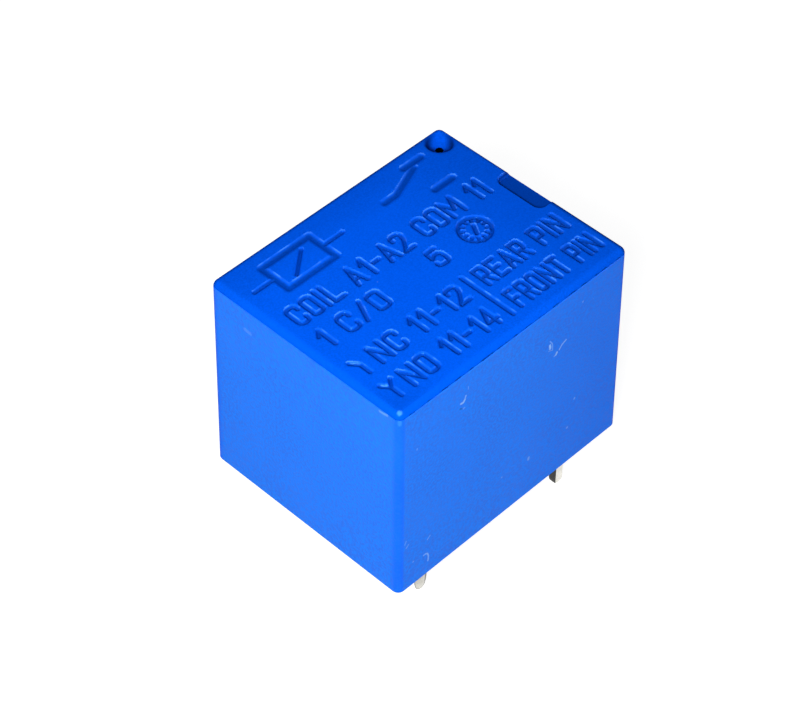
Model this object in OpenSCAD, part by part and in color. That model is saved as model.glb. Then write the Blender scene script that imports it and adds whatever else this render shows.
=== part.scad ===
// Sealed changeover relay for a printed circuit board, of the sugar cube form.
// A drafted case covers a clapper magnet, its contacts and its base.
// Millimetres. z = 0 is the board, +X is the hinge end and -X is the contact end.

/* [Case] */
// Length of the case at its rim
case_l = 19.2; // [18.6:0.1:21]
// Width of the case at its rim
case_w = 15.5; // [15:0.1:17]
// Height of the case above the board
case_h = 15; // [14:0.1:18]
// Thickness of the side walls
wall = 0.7; // [0.5:0.05:0.9]
// Thickness of the roof
roof = 0.8; // [0.6:0.05:1.2]
// Lean of each side wall, in degrees
draft = 0.68; // [0.2:0.02:1.2]
// Radius of the outer edges
edge_r = 0.45; // [0.25:0.05:0.65]
// Radius of the edges of the hollow
hollow_r = 0.3; // [0.15:0.05:0.5]
// How much of the wall is cut away where the base seats
rebate = 0.2; // [0.1:0.05:0.35]

/* [Vent and notch] */
// Distance of the vent from each of the two walls beside it
vent_inset = 1.1; // [1:0.05:1.6]
// Diameter of the dish at its mouth
dish_d = 1.9; // [1.2:0.05:2.1]
// Diameter of the dish at its floor
dish_floor_d = 0.7; // [0.65:0.05:1.1]
// Depth of the dish
dish_depth = 0.7; // [0.4:0.05:1]
// Thickness of the floor of the dish
dish_floor = 0.5; // [0.3:0.05:0.8]
// Diameter of the vent
vent_d = 0.5; // [0.3:0.05:0.6]
// Width of the notch in the hinge end's top edge
notch_w = 3.6; // [2:0.1:6]
// How far the notch reaches in from that edge
notch_in = 1.25; // [0.6:0.05:1.6]
// Depth of the notch
notch_depth = 0.35; // [0.2:0.05:0.5]
// Radius of the inner corners of the notch
notch_r = 0.55; // [0.1:0.05:0.6]

/* [Base] */
// Thickness of the base plate
base_t = 0.9; // [0.7:0.05:1.2]
// Depth of the well that the resin fills
well = 0.7; // [0.5:0.05:1]
// How far the resin stays short of the rim
resin_short = 0.15; // [0.05:0.05:0.3]
// Distance from the pad to the rows of pins
pad_gap = 1; // [0.7:0.05:1.5]
// Radius of the corners of the pad and of the bobbin's flanges
pad_r = 0.6; // [0.3:0.05:1]
// Thickness of the walls of the contact tower
tower_wall = 0.6; // [0.5:0.05:0.8]

/* [Pins] */
// Length of the pins below the board
pin_l = 4.1; // [2.5:0.1:5]
// Distance from the long sides of the rim to the rows of pins
row_inset = 1.75; // [1.55:0.05:2]
// Distance from the contact end of the rim to the contact pins
contact_inset = 3.7; // [3.3:0.05:3.9]
// Distance from the coil pins to the common pin
com_step = 2; // [1.8:0.1:2.3]
// Width of a flat pin
blade_w = 1; // [0.7:0.05:1.3]
// Thickness of the terminal strip
strip_t = 0.4; // [0.3:0.02:0.5]
// Side of a square coil pin
coil_pin_w = 0.64; // [0.4:0.02:0.8]
// Length of the taper at a flat pin's tip
tip_l = 1.1; // [0.4:0.05:1.4]
// Width of a flat pin's tip as a share of the pin
tip_share = 0.3; // [0.2:0.05:0.8]
// Length of the taper at a coil pin's tip
coil_tip_l = 0.4; // [0.1:0.05:0.6]
// Width of a coil pin's tip as a share of the pin
coil_tip_share = 0.7; // [0.5:0.05:0.9]

/* [Magnet] */
// Thickness of the yoke
yoke_t = 1; // [0.8:0.05:1.2]
// Width of the yoke and of the armature
yoke_w = 8; // [7:0.1:9]
// Inner radius of the yoke's bend
yoke_bend_r = 0.3; // [0.2:0.05:0.6]
// Diameter of the core
core_d = 4; // [3.5:0.1:4.4]
// Diameter of the core's spigot in the yoke
spigot_d = 3; // [2.4:0.1:3.3]
// How far the yoke's foot reaches past the spigot
foot_past = 1.5; // [1:0.1:2]
// Diameter of the pole face
pole_d = 6.6; // [5.5:0.1:7.5]
// Thickness of the pole face
pole_t = 0.9; // [0.6:0.05:1.2]
// Thickness of the armature
armature_t = 1; // [0.8:0.05:1.2]
// How far the armature reaches past the pole face
armature_past = 0.7; // [0.3:0.05:1]
// Angle by which the released armature stands open
lift = 2.5; // [1.5:0.1:3]

/* [Coil] */
// Thickness of the flanges of the bobbin
flange_t = 0.8; // [0.6:0.05:1]
// Thickness of the barrel of the bobbin
barrel_wall = 0.45; // [0.35:0.05:0.6]
// How far the winding stays short of the flange's edge
wind_short = 0.35; // [0.2:0.05:0.8]
// Plastic round a coil pin in its ear
ear_wall = 0.5; // [0.35:0.05:0.6]
// Diameter of the winding's wire
wire_d = 0.14; // [0.1:0.02:0.2]
// Length of a solder joint on a coil pin
solder_l = 1; // [0.6:0.1:1.4]
// Diameter of a solder joint
solder_d = 1.3; // [1.2:0.05:1.5]
// How far a coil pin stands above its solder joint
pin_over = 0.25; // [0.1:0.05:0.5]

/* [Contacts] */
// Diameter of the contact heads
contact_d = 2.4; // [2:0.1:2.8]
// Height of a contact head
contact_h = 0.5; // [0.4:0.05:0.6]
// Height of the dome on a contact head
dome_h = 0.12; // [0.05:0.01:0.2]
// Diameter of the contact shanks
shank_d = 1.2; // [0.9:0.1:1.5]
// Width of the fixed terminals' strips and of the spring's free end
tab_w = 3; // [2.9:0.1:3.2]
// Inner radius of the fixed terminals' bends
tab_bend_r = 0.3; // [0.2:0.05:0.5]
// Diameter of a rivet's tail
tail_d = 1.8; // [1.6:0.1:2.2]
// Height of a rivet's tail
tail_h = 0.2; // [0.1:0.05:0.3]
// Room between the highest rivet and the roof
headroom = 0.35; // [0.1:0.05:0.8]
// Thickness of the contact spring
spring_t = 0.12; // [0.08:0.01:0.16]
// Width of the contact spring on the yoke and the armature
spring_w = 6; // [5:0.1:7]
// Width of the window where the spring bends
window_w = 2.4; // [1.5:0.1:3]
// Radius at which the spring passes round the armature's heel
loop_r = 0.8; // [0.72:0.02:0.9]
// Width of the common terminal's plate
com_w = 5; // [4.4:0.1:6]
// Height of the common terminal's plate
com_h = 5; // [4:0.1:6]
// Diameter of the stakes
stake_d = 1.2; // [0.9:0.05:1.4]
// Diameter of a stake's head
stake_head_d = 1.7; // [1.5:0.05:2]
// Height of a stake's head
stake_h = 0.2; // [0.12:0.02:0.25]
// Height of the stakes above the lower edge of the common terminal's plate
stake_up = 3; // [1.5:0.1:3]
// Distance from the core's axis to the stakes on the armature, towards the hinge
stake_back = 1.65; // [0:0.05:2.5]
// Distance between the two stakes of a pair
stake_pitch = 3.2; // [2.6:0.1:3.4]

/* [Clearances] */
// Gap between pieces that seat on each other
seat = 0.02; // [0.01:0.005:0.04]
// Gap round pieces that pass through a hole or slot
slip = 0.05; // [0.03:0.01:0.08]
// Gap between the contacts that close, and under the armature's heel
touch = 0.03; // [0.02:0.005:0.05]
// Gap between the hinge end's wall and the stakes beside it
end_gap = 0.05; // [0.03:0.01:0.3]
// Gap between the spring and the armature's heel, along the yoke
heel_gap = 0.2; // [0.15:0.05:0.3]

/* [Hidden] */
$fn = 64;
hull_fn = 32;
film = 0.01;

case_blue = "#0a55d8";
base_blue = "#12409c";
resin_blue = "#1b3a78";
bobbin_black = "#26282b";
copper = "#b0622c";
steel = "#a3a8ad";
bronze = "#b98a4a";
silver = "#d6d6d2";
tin = "#c9c7bd";

// Lean of the walls at a height
function lean(z) = z * tan(draft);

// Levels from the board up to the base
base_top = well + base_t;
top_l = case_l - 2 * lean(case_h);
top_w = case_w - 2 * lean(case_h);
ceiling = case_h - roof;

// Base, inside the rebate of the case
seat_inset = wall - rebate + lean(base_top) + seat;
base_l = case_l - 2 * seat_inset;
base_w = case_w - 2 * seat_inset;

// Rows of pins, set out from the hinge end's wall
com_x = top_l / 2 - wall - end_gap - stake_h - seat - strip_t / 2;
coil_pin_x = com_x - com_step;
contact_x = contact_inset - case_l / 2;
row_y = case_w / 2 - row_inset;

// Stack of yoke, spring and common terminal at the hinge end
spring_x = com_x - strip_t / 2 - seat - spring_t / 2;
yoke_back = spring_x - spring_t / 2 - seat;
yoke_front = yoke_back - yoke_t;
heel_r = armature_t / 2;
pivot_x = yoke_back - heel_r - heel_gap;

// Heights, worked down from the ceiling to the pole face
nc_tab_top = ceiling - headroom - tail_h;
nc_tip = nc_tab_top - strip_t - contact_h;
lever = pivot_x - contact_x;
spring_over_pivot = heel_r + seat + spring_t / 2;
tip_over_pivot = spring_over_pivot + spring_t / 2 + contact_h;
pivot_z = nc_tip - touch - lever * sin(lift) - tip_over_pivot * cos(lift);
pole_z = pivot_z - heel_r - touch;
no_tip = pivot_z + spring_over_pivot - spring_t / 2 - contact_h - touch;
no_tab_top = no_tip - contact_h;

// Yoke, bobbin and winding between the base and the pole face
yoke_z = base_top + seat;
bobbin_z = yoke_z + yoke_t + seat;
flange_top = bobbin_z + flange_t;
upper_flange_top = pole_z - pole_t - seat;
upper_flange_z = upper_flange_top - flange_t;
tower_x = contact_x + tab_w / 2 + slip;
flange_x0 = tower_x + tower_wall + slip;
flange_x1 = yoke_front - yoke_bend_r - slip;
flange_l = flange_x1 - flange_x0;
coil_x = (flange_x0 + flange_x1) / 2;
bore_r = core_d / 2 + slip;
barrel_r = bore_r + barrel_wall;
winding_r = flange_l / 2 - wind_short;
ear_r = coil_pin_w / 2 + ear_wall;

// Contact tower and pad of the base
tower_half = row_y - strip_t / 2 - slip;
tower_top = no_tab_top - strip_t - tab_bend_r - seat;
pad_w = 2 * (row_y - strip_t / 2 - pad_gap);
pad_l = 2 * (com_x - strip_t / 2 - pad_gap);

// Common terminal and the stakes that hold it
com_z = yoke_z + yoke_t;
stake_z = com_z + stake_up;
armature_x0 = coil_x - pole_d / 2 - armature_past;
armature_stake_x = coil_x + stake_back;

// Spring: where its upright leg starts to bend over the heel
loop_z = pivot_z + (spring_over_pivot - loop_r - (spring_x - loop_r - pivot_x) * sin(lift)) / cos(lift);
spring_end = contact_x - tab_w / 2;

// Coil pins, and the leads that leave the winding along a tangent
coil_pin_top = flange_top + seat + solder_l + pin_over;
lead_z = flange_top + slip + solder_l / 2;
lead_r = winding_r + wire_d / 2 + seat;
pin_reach = norm([coil_pin_x - coil_x, row_y]);
lead_angle = atan2(row_y, coil_pin_x - coil_x) + acos(lead_r / pin_reach);
lead_start = [coil_x + lead_r * cos(lead_angle), lead_r * sin(lead_angle)];
lead_run = [coil_pin_x, row_y] - lead_start;
lead_l = norm(lead_run) - solder_d / 2 - seat;

// Shared shapes

// Rectangle with round corners, centred
module round_rect(l, w, r) {
    square([l - 2 * r, w], center = true);
    square([l, w - 2 * r], center = true);
    for (x = [-1, 1], y = [-1, 1])
        translate([x * (l / 2 - r), y * (w / 2 - r)])
            circle(r);
}

// Place of a round corner of a leaning block at a height
function corner(x, y, inset, r, z) = [
    x * (case_l / 2 - inset - lean(z) - r),
    y * (case_w / 2 - inset - lean(z) - r),
    z,
];

// Block with leaning walls and round corners, its top edges round or square
module drafted_block(inset, r, low, high, domed = true) {
    hull($fn = hull_fn)
        for (x = [-1, 1], y = [-1, 1]) {
            translate(corner(x, y, inset, r, low))
                cylinder(r = r, h = film);
            translate(corner(x, y, inset, r, high))
                if (domed)
                    translate([0, 0, -r])
                        rotate_extrude()
                            intersection() {
                                circle(r);
                                square(r);
                            }
                else
                    translate([0, 0, -film])
                        cylinder(r = r, h = film);
        }
}

// Strip bent along a path: each step is [length, bend radius, bend angle]
module ribbon(steps, w, t, i = 0) {
    if (i < len(steps)) {
        run = steps[i][0];
        r = steps[i][1];
        turn = steps[i][2];
        translate([0, -t / 2, -w / 2])
            cube([run, t, w]);
        translate([run, 0, 0]) {
            if (turn > 0)
                translate([0, r, 0])
                    rotate(-90)
                        rotate_extrude(angle = turn)
                            translate([r - t / 2, -w / 2])
                                square([t, w]);
            translate([r * sin(turn), r * (1 - cos(turn)), 0])
                rotate(turn)
                    ribbon(steps, w, t, i + 1);
        }
    }
}

// Share of a pin's width that is left at a height in its taper
function narrowed(share, h) = share + (1 - share) * sqrt(h * (2 - h));

// Outline of a pin that tapers to its tip
module tip_outline(w, high, taper, share) {
    polygon([
        [-w / 2, high],
        for (h = [1, 0.5, 0.2, 0]) [-w / 2 * narrowed(share, h), h * taper - pin_l],
        for (h = [0, 0.2, 0.5, 1]) [w / 2 * narrowed(share, h), h * taper - pin_l],
        [w / 2, high],
    ]);
}

// Straight pin with its tip below the board
module pin(x_size, y_size, high, taper = tip_l, share = tip_share) {
    intersection() {
        rotate([90, 0, 0])
            linear_extrude(y_size, center = true)
                tip_outline(x_size, high, taper, share);
        rotate([90, 0, 90])
            linear_extrude(x_size, center = true)
                tip_outline(y_size, high, taper, share);
    }
}

// Half section of a contact head that stands on the axis, dome up
module contact_section() {
    ball_r = (pow(contact_d / 2, 2) + dome_h * dome_h) / (2 * dome_h);
    intersection() {
        translate([0, contact_h - ball_r])
            circle(ball_r, $fn = 360);
        square([contact_d / 2, contact_h]);
    }
}

// Fixed contact: head up, shank through the strip, tail below
module fixed_contact() {
    rotate_extrude() {
        contact_section();
        translate([0, -strip_t - seat - film])
            square([shank_d / 2, strip_t + seat + 2 * film]);
        translate([0, -strip_t - seat - tail_h])
            square([tail_d / 2, tail_h]);
    }
}

// Children lifted with the released armature
module lifted() {
    translate([pivot_x, 0, pivot_z])
        rotate([0, lift, 0])
            translate([-pivot_x, 0, -pivot_z])
                children();
}

// Children at each of a pair of stakes along Y
module staked() {
    for (y = [-1, 1])
        translate([0, y * stake_pitch / 2, 0])
            children();
}

// Stake along +Z through a pile of sheets, headed on top
module stake(pile) {
    translate([0, 0, -film])
        cylinder(d = stake_d, h = pile + stake_h + film);
    translate([0, 0, pile])
        cylinder(d = stake_head_d, h = stake_h);
}

// Case and base

module cover() {
    vent_x = top_l / 2 - vent_inset;
    vent_y = top_w / 2 - vent_inset;
    dish_z = case_h - dish_depth;
    color(case_blue)
        difference() {
            drafted_block(0, edge_r, 0, case_h);
            difference() {
                drafted_block(wall, hollow_r, -1, ceiling);
                translate([vent_x, vent_y, dish_z - dish_floor])
                    cylinder(d = dish_d + 2 * dish_floor, h = case_h);
            }
            drafted_block(wall - rebate, hollow_r, -1, base_top, domed = false);
            translate([vent_x, vent_y, dish_z])
                cylinder(d1 = dish_floor_d, d2 = dish_d, h = dish_depth);
            translate([vent_x, vent_y, dish_z - dish_floor - 1])
                cylinder(d = vent_d, h = dish_floor + 2);
            translate([0, 0, case_h - notch_depth])
                linear_extrude(1)
                    notch_outline();
        }
}

// Notch, open towards the hinge end
module notch_outline() {
    notch_l = 2 * notch_in;
    translate([top_l / 2, 0])
        round_rect(notch_l, notch_w, notch_r);
}

module base() {
    color(base_blue)
        difference() {
            union() {
                linear_extrude(well)
                    round_rect(pad_l, pad_w, pad_r);
                translate([0, 0, well])
                    linear_extrude(base_t)
                        round_rect(base_l, base_w, hollow_r);
                contact_tower();
                for (y = [-1, 1])
                    translate([coil_pin_x - ear_r, y * row_y - ear_r, base_top - film])
                        cube([2 * ear_r, 2 * ear_r, bobbin_z - seat - base_top + film]);
            }
            pin_slots(slip);
        }
}

// Walls that guide the fixed terminals, with a rib under the lower contact
module contact_tower() {
    x0 = contact_x - tab_w / 2;
    rib_top = no_tab_top - strip_t - seat;
    depth = tower_x + tower_wall - x0;
    z0 = base_top - film;
    translate([tower_x, -tower_half, z0])
        cube([tower_wall, 2 * tower_half, tower_top - z0]);
    for (y = [-1, 1])
        translate([x0, y * (tower_half - tower_wall / 2) - tower_wall / 2, z0])
            cube([depth, tower_wall, tower_top - z0]);
    difference() {
        translate([x0, -tower_wall, z0])
            cube([tower_x - x0 + film, 2 * tower_wall, rib_top - z0]);
        translate([contact_x, 0, rib_top - tail_h - slip])
            cylinder(d = tail_d + 2 * slip, h = 1);
    }
}

// Slots for every pin, grown by a gap
module pin_slots(gap) {
    slot_h = case_h;
    for (y = [-1, 1]) {
        translate([contact_x, y * row_y, 0])
            cube([blade_w + 2 * gap, strip_t + 2 * gap, slot_h], center = true);
        translate([coil_pin_x, y * row_y, 0])
            cube([coil_pin_w + 2 * gap, coil_pin_w + 2 * gap, slot_h], center = true);
    }
    translate([com_x, 0, 0])
        cube([strip_t + 2 * gap, blade_w + 2 * gap, slot_h], center = true);
}

module sealing_resin() {
    color(resin_blue)
        difference() {
            translate([0, 0, resin_short])
                linear_extrude(well - seat - resin_short)
                    difference() {
                        round_rect(base_l, base_w, hollow_r);
                        round_rect(pad_l + 2 * seat, pad_w + 2 * seat, pad_r + seat);
                    }
            pin_slots(seat);
        }
}

// Magnet

module bobbin() {
    color(bobbin_black)
        difference() {
            union() {
                translate([coil_x, 0, bobbin_z])
                    linear_extrude(flange_t)
                        round_rect(flange_l, flange_l, pad_r);
                for (y = [-1, 1])
                    coil_ear(y);
                translate([coil_x, 0, bobbin_z])
                    cylinder(r = barrel_r, h = upper_flange_top - bobbin_z);
                translate([coil_x, 0, upper_flange_z])
                    linear_extrude(flange_t)
                        round_rect(flange_l, flange_l, pad_r);
            }
            translate([coil_x, 0, bobbin_z - 1])
                cylinder(r = bore_r, h = case_h);
            pin_slots(slip);
        }
}

// Ear of the lower flange that holds a coil pin
module coil_ear(side) {
    inner_y = flange_l / 2 - pad_r;
    ear_x = coil_pin_x - ear_r;
    translate([ear_x, min(side * inner_y, side * row_y), bobbin_z])
        cube([flange_x1 - ear_x, row_y - inner_y, flange_t]);
    translate([coil_pin_x, side * row_y, bobbin_z])
        cylinder(r = ear_r, h = flange_t);
}

module winding() {
    color(copper)
        translate([coil_x, 0, flange_top + seat])
            difference() {
                cylinder(r = winding_r, h = upper_flange_z - flange_top - 2 * seat);
                translate([0, 0, -1])
                    cylinder(r = barrel_r + seat, h = case_h);
            }
}

module core() {
    color(steel)
        translate([coil_x, 0, 0]) {
            translate([0, 0, yoke_z])
                cylinder(d = spigot_d, h = yoke_t + 2 * seat);
            translate([0, 0, yoke_z + yoke_t + seat])
                cylinder(d = core_d, h = pole_z - pole_t - yoke_z - yoke_t);
            translate([0, 0, pole_z - pole_t])
                cylinder(d = pole_d, h = pole_t);
        }
}

module yoke() {
    bend = yoke_bend_r + yoke_t / 2;
    foot_x = coil_x - spigot_d / 2 - foot_past;
    color(steel)
        difference() {
            union() {
                translate([foot_x, 0, yoke_z + yoke_t / 2])
                    rotate([90, 0, 0])
                        ribbon([
                            [yoke_back - yoke_t / 2 - bend - foot_x, bend, 90],
                            [pole_z - yoke_z - yoke_t / 2 - bend, 0, 0],
                        ], yoke_w, yoke_t);
                translate([yoke_back, 0, stake_z])
                    rotate([0, 90, 0])
                        staked()
                            stake(spring_t + strip_t + 3 * seat);
            }
            translate([coil_x, 0, yoke_z - 1])
                cylinder(d = spigot_d + 2 * slip, h = yoke_t + 2);
        }
}

module armature() {
    depth = pivot_x - armature_x0;
    color(steel)
        lifted()
            translate([pivot_x, 0, pivot_z]) {
                intersection() {
                    rotate([90, 0, 0])
                        linear_extrude(yoke_w, center = true) {
                            translate([-depth, -heel_r])
                                square([depth, armature_t]);
                            circle(heel_r);
                        }
                    translate([(heel_r - depth) / 2, 0, -armature_t])
                        linear_extrude(2 * armature_t)
                            round_rect(depth + heel_r, yoke_w, heel_r);
                }
                translate([armature_stake_x - pivot_x, 0, heel_r])
                    staked()
                        stake(spring_t + 2 * seat);
            }
}

// Contacts and terminals

module contact_spring() {
    hole_d = stake_d + 2 * slip;
    color(bronze)
        difference() {
            intersection() {
                translate([spring_x, 0, com_z])
                    rotate([0, -90, 0])
                        rotate([90, 0, 0])
                            ribbon([
                                [loop_z - com_z, loop_r, 90 - lift],
                                [spring_x - loop_r - spring_end, 0, 0],
                            ], spring_w, spring_t);
                linear_extrude(case_h)
                    spring_outline();
            }
            translate([yoke_back - 1, 0, stake_z])
                rotate([0, 90, 0])
                    staked()
                        cylinder(d = hole_d, h = 2);
            translate([pivot_x, -window_w / 2, loop_z - 2 * loop_r])
                cube([loop_r * 2, window_w, 4 * loop_r]);
            lifted() {
                translate([armature_stake_x, 0, pivot_z])
                    staked()
                        cylinder(d = hole_d, h = 2);
                translate([contact_x, 0, pivot_z])
                    cylinder(d = shank_d + 2 * seat, h = 2);
            }
        }
}

// Spring seen from above: wide on the armature, narrow with cut corners at the contact
module spring_outline() {
    half = spring_w / 2;
    narrow = tab_w / 2;
    hinge_end = case_l / 2;
    polygon([
        [hinge_end, half], [hinge_end, -half], [armature_x0, -half],
        [contact_x + narrow, -narrow], [contact_x - narrow / 2, -narrow], [spring_end, -narrow / 2],
        [spring_end, narrow / 2], [contact_x - narrow / 2, narrow], [contact_x + narrow, narrow],
        [armature_x0, half],
    ]);
}

// Rivet with a head on both sides of the spring
module moving_contact() {
    color(silver)
        lifted()
            translate([contact_x, 0, pivot_z + spring_over_pivot])
                rotate_extrude() {
                    translate([0, spring_t / 2])
                        contact_section();
                    mirror([0, 1])
                        translate([0, spring_t / 2])
                            contact_section();
                    translate([0, -spring_t / 2 - film])
                        square([shank_d / 2, spring_t + 2 * film]);
                }
}

module com_terminal() {
    color(tin)
        difference() {
            union() {
                translate([com_x, 0, 0])
                    pin(strip_t, blade_w, com_z + film);
                translate([com_x - strip_t / 2, -com_w / 2, com_z])
                    cube([strip_t, com_w, com_h]);
            }
            translate([com_x - 1, 0, stake_z])
                rotate([0, 90, 0])
                    staked()
                        cylinder(d = stake_d + 2 * slip, h = 2);
        }
}

// Fixed terminal on the front row, with its tab's top at a height
module fixed_terminal(tab_top) {
    bend = tab_bend_r + strip_t / 2;
    foot = base_top + seat;
    rise = tab_top - strip_t / 2 - bend - foot;
    difference() {
        union() {
            translate([contact_x, -row_y, 0])
                pin(blade_w, strip_t, foot + film);
            translate([contact_x, -row_y, foot])
                rotate([0, -90, 0])
                    ribbon([[rise, bend, 90], [row_y - bend, 0, 0]], tab_w, strip_t);
            translate([contact_x, 0, tab_top - strip_t])
                cylinder(d = tab_w, h = strip_t);
        }
        translate([contact_x, 0, tab_top - strip_t - 1])
            cylinder(d = shank_d + 2 * seat, h = strip_t + 2);
    }
}

module no_terminal() {
    color(tin)
        fixed_terminal(no_tab_top);
}

module no_contact() {
    color(silver)
        translate([contact_x, 0, no_tab_top])
            fixed_contact();
}

module nc_terminal() {
    color(tin)
        mirror([0, 1, 0])
            fixed_terminal(nc_tab_top);
}

module nc_contact() {
    color(silver)
        translate([contact_x, 0, nc_tab_top - strip_t])
            mirror([0, 0, 1])
                fixed_contact();
}

// Coil pins and leads, drawn for the rear row and mirrored to the front

module coil_pin() {
    color(tin)
        translate([coil_pin_x, row_y, 0])
            pin(coil_pin_w, coil_pin_w, coil_pin_top, coil_tip_l, coil_tip_share);
}

module coil_lead() {
    color(copper)
        translate([lead_start[0], lead_start[1], lead_z])
            rotate([0, 90, atan2(lead_run[1], lead_run[0])])
                cylinder(d = wire_d, h = lead_l);
}

module solder() {
    gap = coil_pin_w + 2 * seat;
    color(tin)
        translate([coil_pin_x, row_y, flange_top + seat])
            difference() {
                rotate_extrude()
                    polygon([
                        [0, 0], [solder_d / 2, solder_l * 0.2], [solder_d / 2, solder_l * 0.7],
                        [coil_pin_w * 0.8, solder_l], [0, solder_l],
                    ]);
                cube([gap, gap, 4 * solder_l], center = true);
            }
}

module front() {
    mirror([0, 1, 0])
        children();
}

cover();
base();
sealing_resin();
bobbin();
winding();
core();
yoke();
armature();
contact_spring();
moving_contact();
com_terminal();
no_terminal();
no_contact();
nc_terminal();
nc_contact();
front() coil_pin();  // coil_pin_front
coil_pin();  // coil_pin_rear
front() coil_lead();  // coil_lead_front
coil_lead();  // coil_lead_rear
front() solder();  // solder_front
solder();  // solder_rear
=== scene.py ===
"""Sealed changeover relay for a circuit board: the case, its sunk marks, the works inside and the studio."""

import math

import bpy
import numpy as np
from bpy.props import FloatProperty, FloatVectorProperty, IntProperty, PointerProperty
from mathutils import Euler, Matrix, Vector


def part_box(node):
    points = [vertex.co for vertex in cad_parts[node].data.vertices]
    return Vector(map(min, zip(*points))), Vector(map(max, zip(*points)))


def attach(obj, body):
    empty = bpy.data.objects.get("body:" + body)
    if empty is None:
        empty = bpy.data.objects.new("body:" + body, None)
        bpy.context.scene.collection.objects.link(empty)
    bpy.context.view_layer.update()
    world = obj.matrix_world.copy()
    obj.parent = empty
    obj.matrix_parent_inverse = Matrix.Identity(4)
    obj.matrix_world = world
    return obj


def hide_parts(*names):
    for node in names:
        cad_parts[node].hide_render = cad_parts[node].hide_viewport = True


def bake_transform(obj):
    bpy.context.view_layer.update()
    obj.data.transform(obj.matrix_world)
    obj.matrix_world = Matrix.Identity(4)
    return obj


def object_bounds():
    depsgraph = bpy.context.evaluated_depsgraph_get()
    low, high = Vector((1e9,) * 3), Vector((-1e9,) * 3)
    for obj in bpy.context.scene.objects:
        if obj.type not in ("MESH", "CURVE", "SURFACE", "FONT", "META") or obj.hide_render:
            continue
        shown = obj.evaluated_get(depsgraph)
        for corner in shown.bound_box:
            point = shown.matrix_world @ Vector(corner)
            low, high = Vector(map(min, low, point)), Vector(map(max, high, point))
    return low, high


bl_info = {
    "name": "Circuit board relay",
    "version": (1, 0, 0),
    "blender": (4, 5, 0),
    "location": "View3D > Sidebar > Relay",
    "description": "Dresses the solids of a sealed changeover relay",
    "category": "Object",
}

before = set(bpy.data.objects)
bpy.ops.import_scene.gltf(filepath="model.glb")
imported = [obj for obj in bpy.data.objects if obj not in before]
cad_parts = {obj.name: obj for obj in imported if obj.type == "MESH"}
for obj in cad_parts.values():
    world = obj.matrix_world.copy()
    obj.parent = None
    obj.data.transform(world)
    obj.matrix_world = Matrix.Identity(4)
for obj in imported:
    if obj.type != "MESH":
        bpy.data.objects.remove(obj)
CAD_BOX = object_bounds()
RIM_LOW, RIM_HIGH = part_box("cover")
PIN_TIP = CAD_BOX[0][2]

MM = 0.001
MERGE = 1e-6
FIXED = "fixed_parts"
BLACK = (0.0, 0.0, 0.0, 1.0)
WHITE = (1.0, 1.0, 1.0, 1.0)


def length(name, description, default):
    """A size in the panel, in metres."""
    limits = {"min": 0, "precision": 5, "unit": "LENGTH"}
    return FloatProperty(name=name, description=description, default=default, **limits)


def colour(name, description, default):
    """A finish's colour in the panel."""
    limits = {"size": 3, "min": 0, "max": 1, "subtype": "COLOR"}
    return FloatVectorProperty(name=name, description=description, default=default, **limits)


def brightness(name, description, default):
    """A light's level in the panel."""
    return FloatProperty(name=name, description=description, default=default, min=0)


# Sizes and colours that a user would change


class CaseSizes(bpy.types.PropertyGroup):
    """Sizes of the moulded case"""

    rim_length: length("Rim length", "Length of the case at its rim", RIM_HIGH[0] - RIM_LOW[0])
    rim_width: length("Rim width", "Width of the case at its rim", RIM_HIGH[1] - RIM_LOW[1])
    height: length("Height", "Height of the roof above the board", RIM_HIGH[2])
    draft: FloatProperty(
        name="Draft", description="Lean of each wall", default=math.radians(0.68), subtype="ANGLE"
    )
    edge_radius: length("Edge radius", "Radius of the outer edges", 0.45 * MM)
    hollow_radius: length("Hollow radius", "Radius of the edges of the hollow", 0.3 * MM)
    wall: length("Wall", "Thickness of the walls", 0.7 * MM)
    roof: length("Roof", "Thickness of the roof", 0.8 * MM)
    rebate: length("Rebate", "Wall cut away where the base seats", 0.2 * MM)
    seat_height: length("Seat height", "Height up to which the wall is cut away", 1.6 * MM)
    parting_drop: length("Parting line", "Distance of the parting line below the roof", 0.44 * MM)
    groove: length("Groove", "Depth of the groove along the parting line", 0.03 * MM)
    groove_width: length("Groove width", "Width of that groove", 0.11 * MM)
    vent_inset: length("Vent inset", "Distance of the vent from the two walls beside it", 1.1 * MM)
    dish: length("Dish", "Diameter of the vent's dish at its mouth", 1.9 * MM)
    dish_depth: length("Dish depth", "Depth of the dish", 0.7 * MM)
    vent: length("Vent", "Diameter of the vent", 0.5 * MM)
    notch_width: length("Notch width", "Width of the notch in the hinge end's edge", 3.6 * MM)
    notch_reach: length("Notch reach", "How far the notch reaches in from that edge", 1.25 * MM)
    notch_depth: length("Notch depth", "Depth of the notch", 0.35 * MM)
    notch_radius: length("Notch radius", "Radius of the notch's inner corners", 0.55 * MM)
    lip: length("Lip", "Rounding where a hollow meets the roof", 0.09 * MM)


class MarkSizes(bpy.types.PropertyGroup):
    """Sizes of the marks sunk into the roof"""

    depth: length("Depth", "Depth of the marks", 0.17 * MM)
    stroke: length("Stroke", "Width of the letters' strokes at half their depth", 0.22 * MM)
    bar: length("Bar", "Width of the large signs' strokes at half their depth", 0.42 * MM)
    mesh: length("Mesh", "Spacing of the fine mesh that carries the marks", 0.06 * MM)


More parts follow.
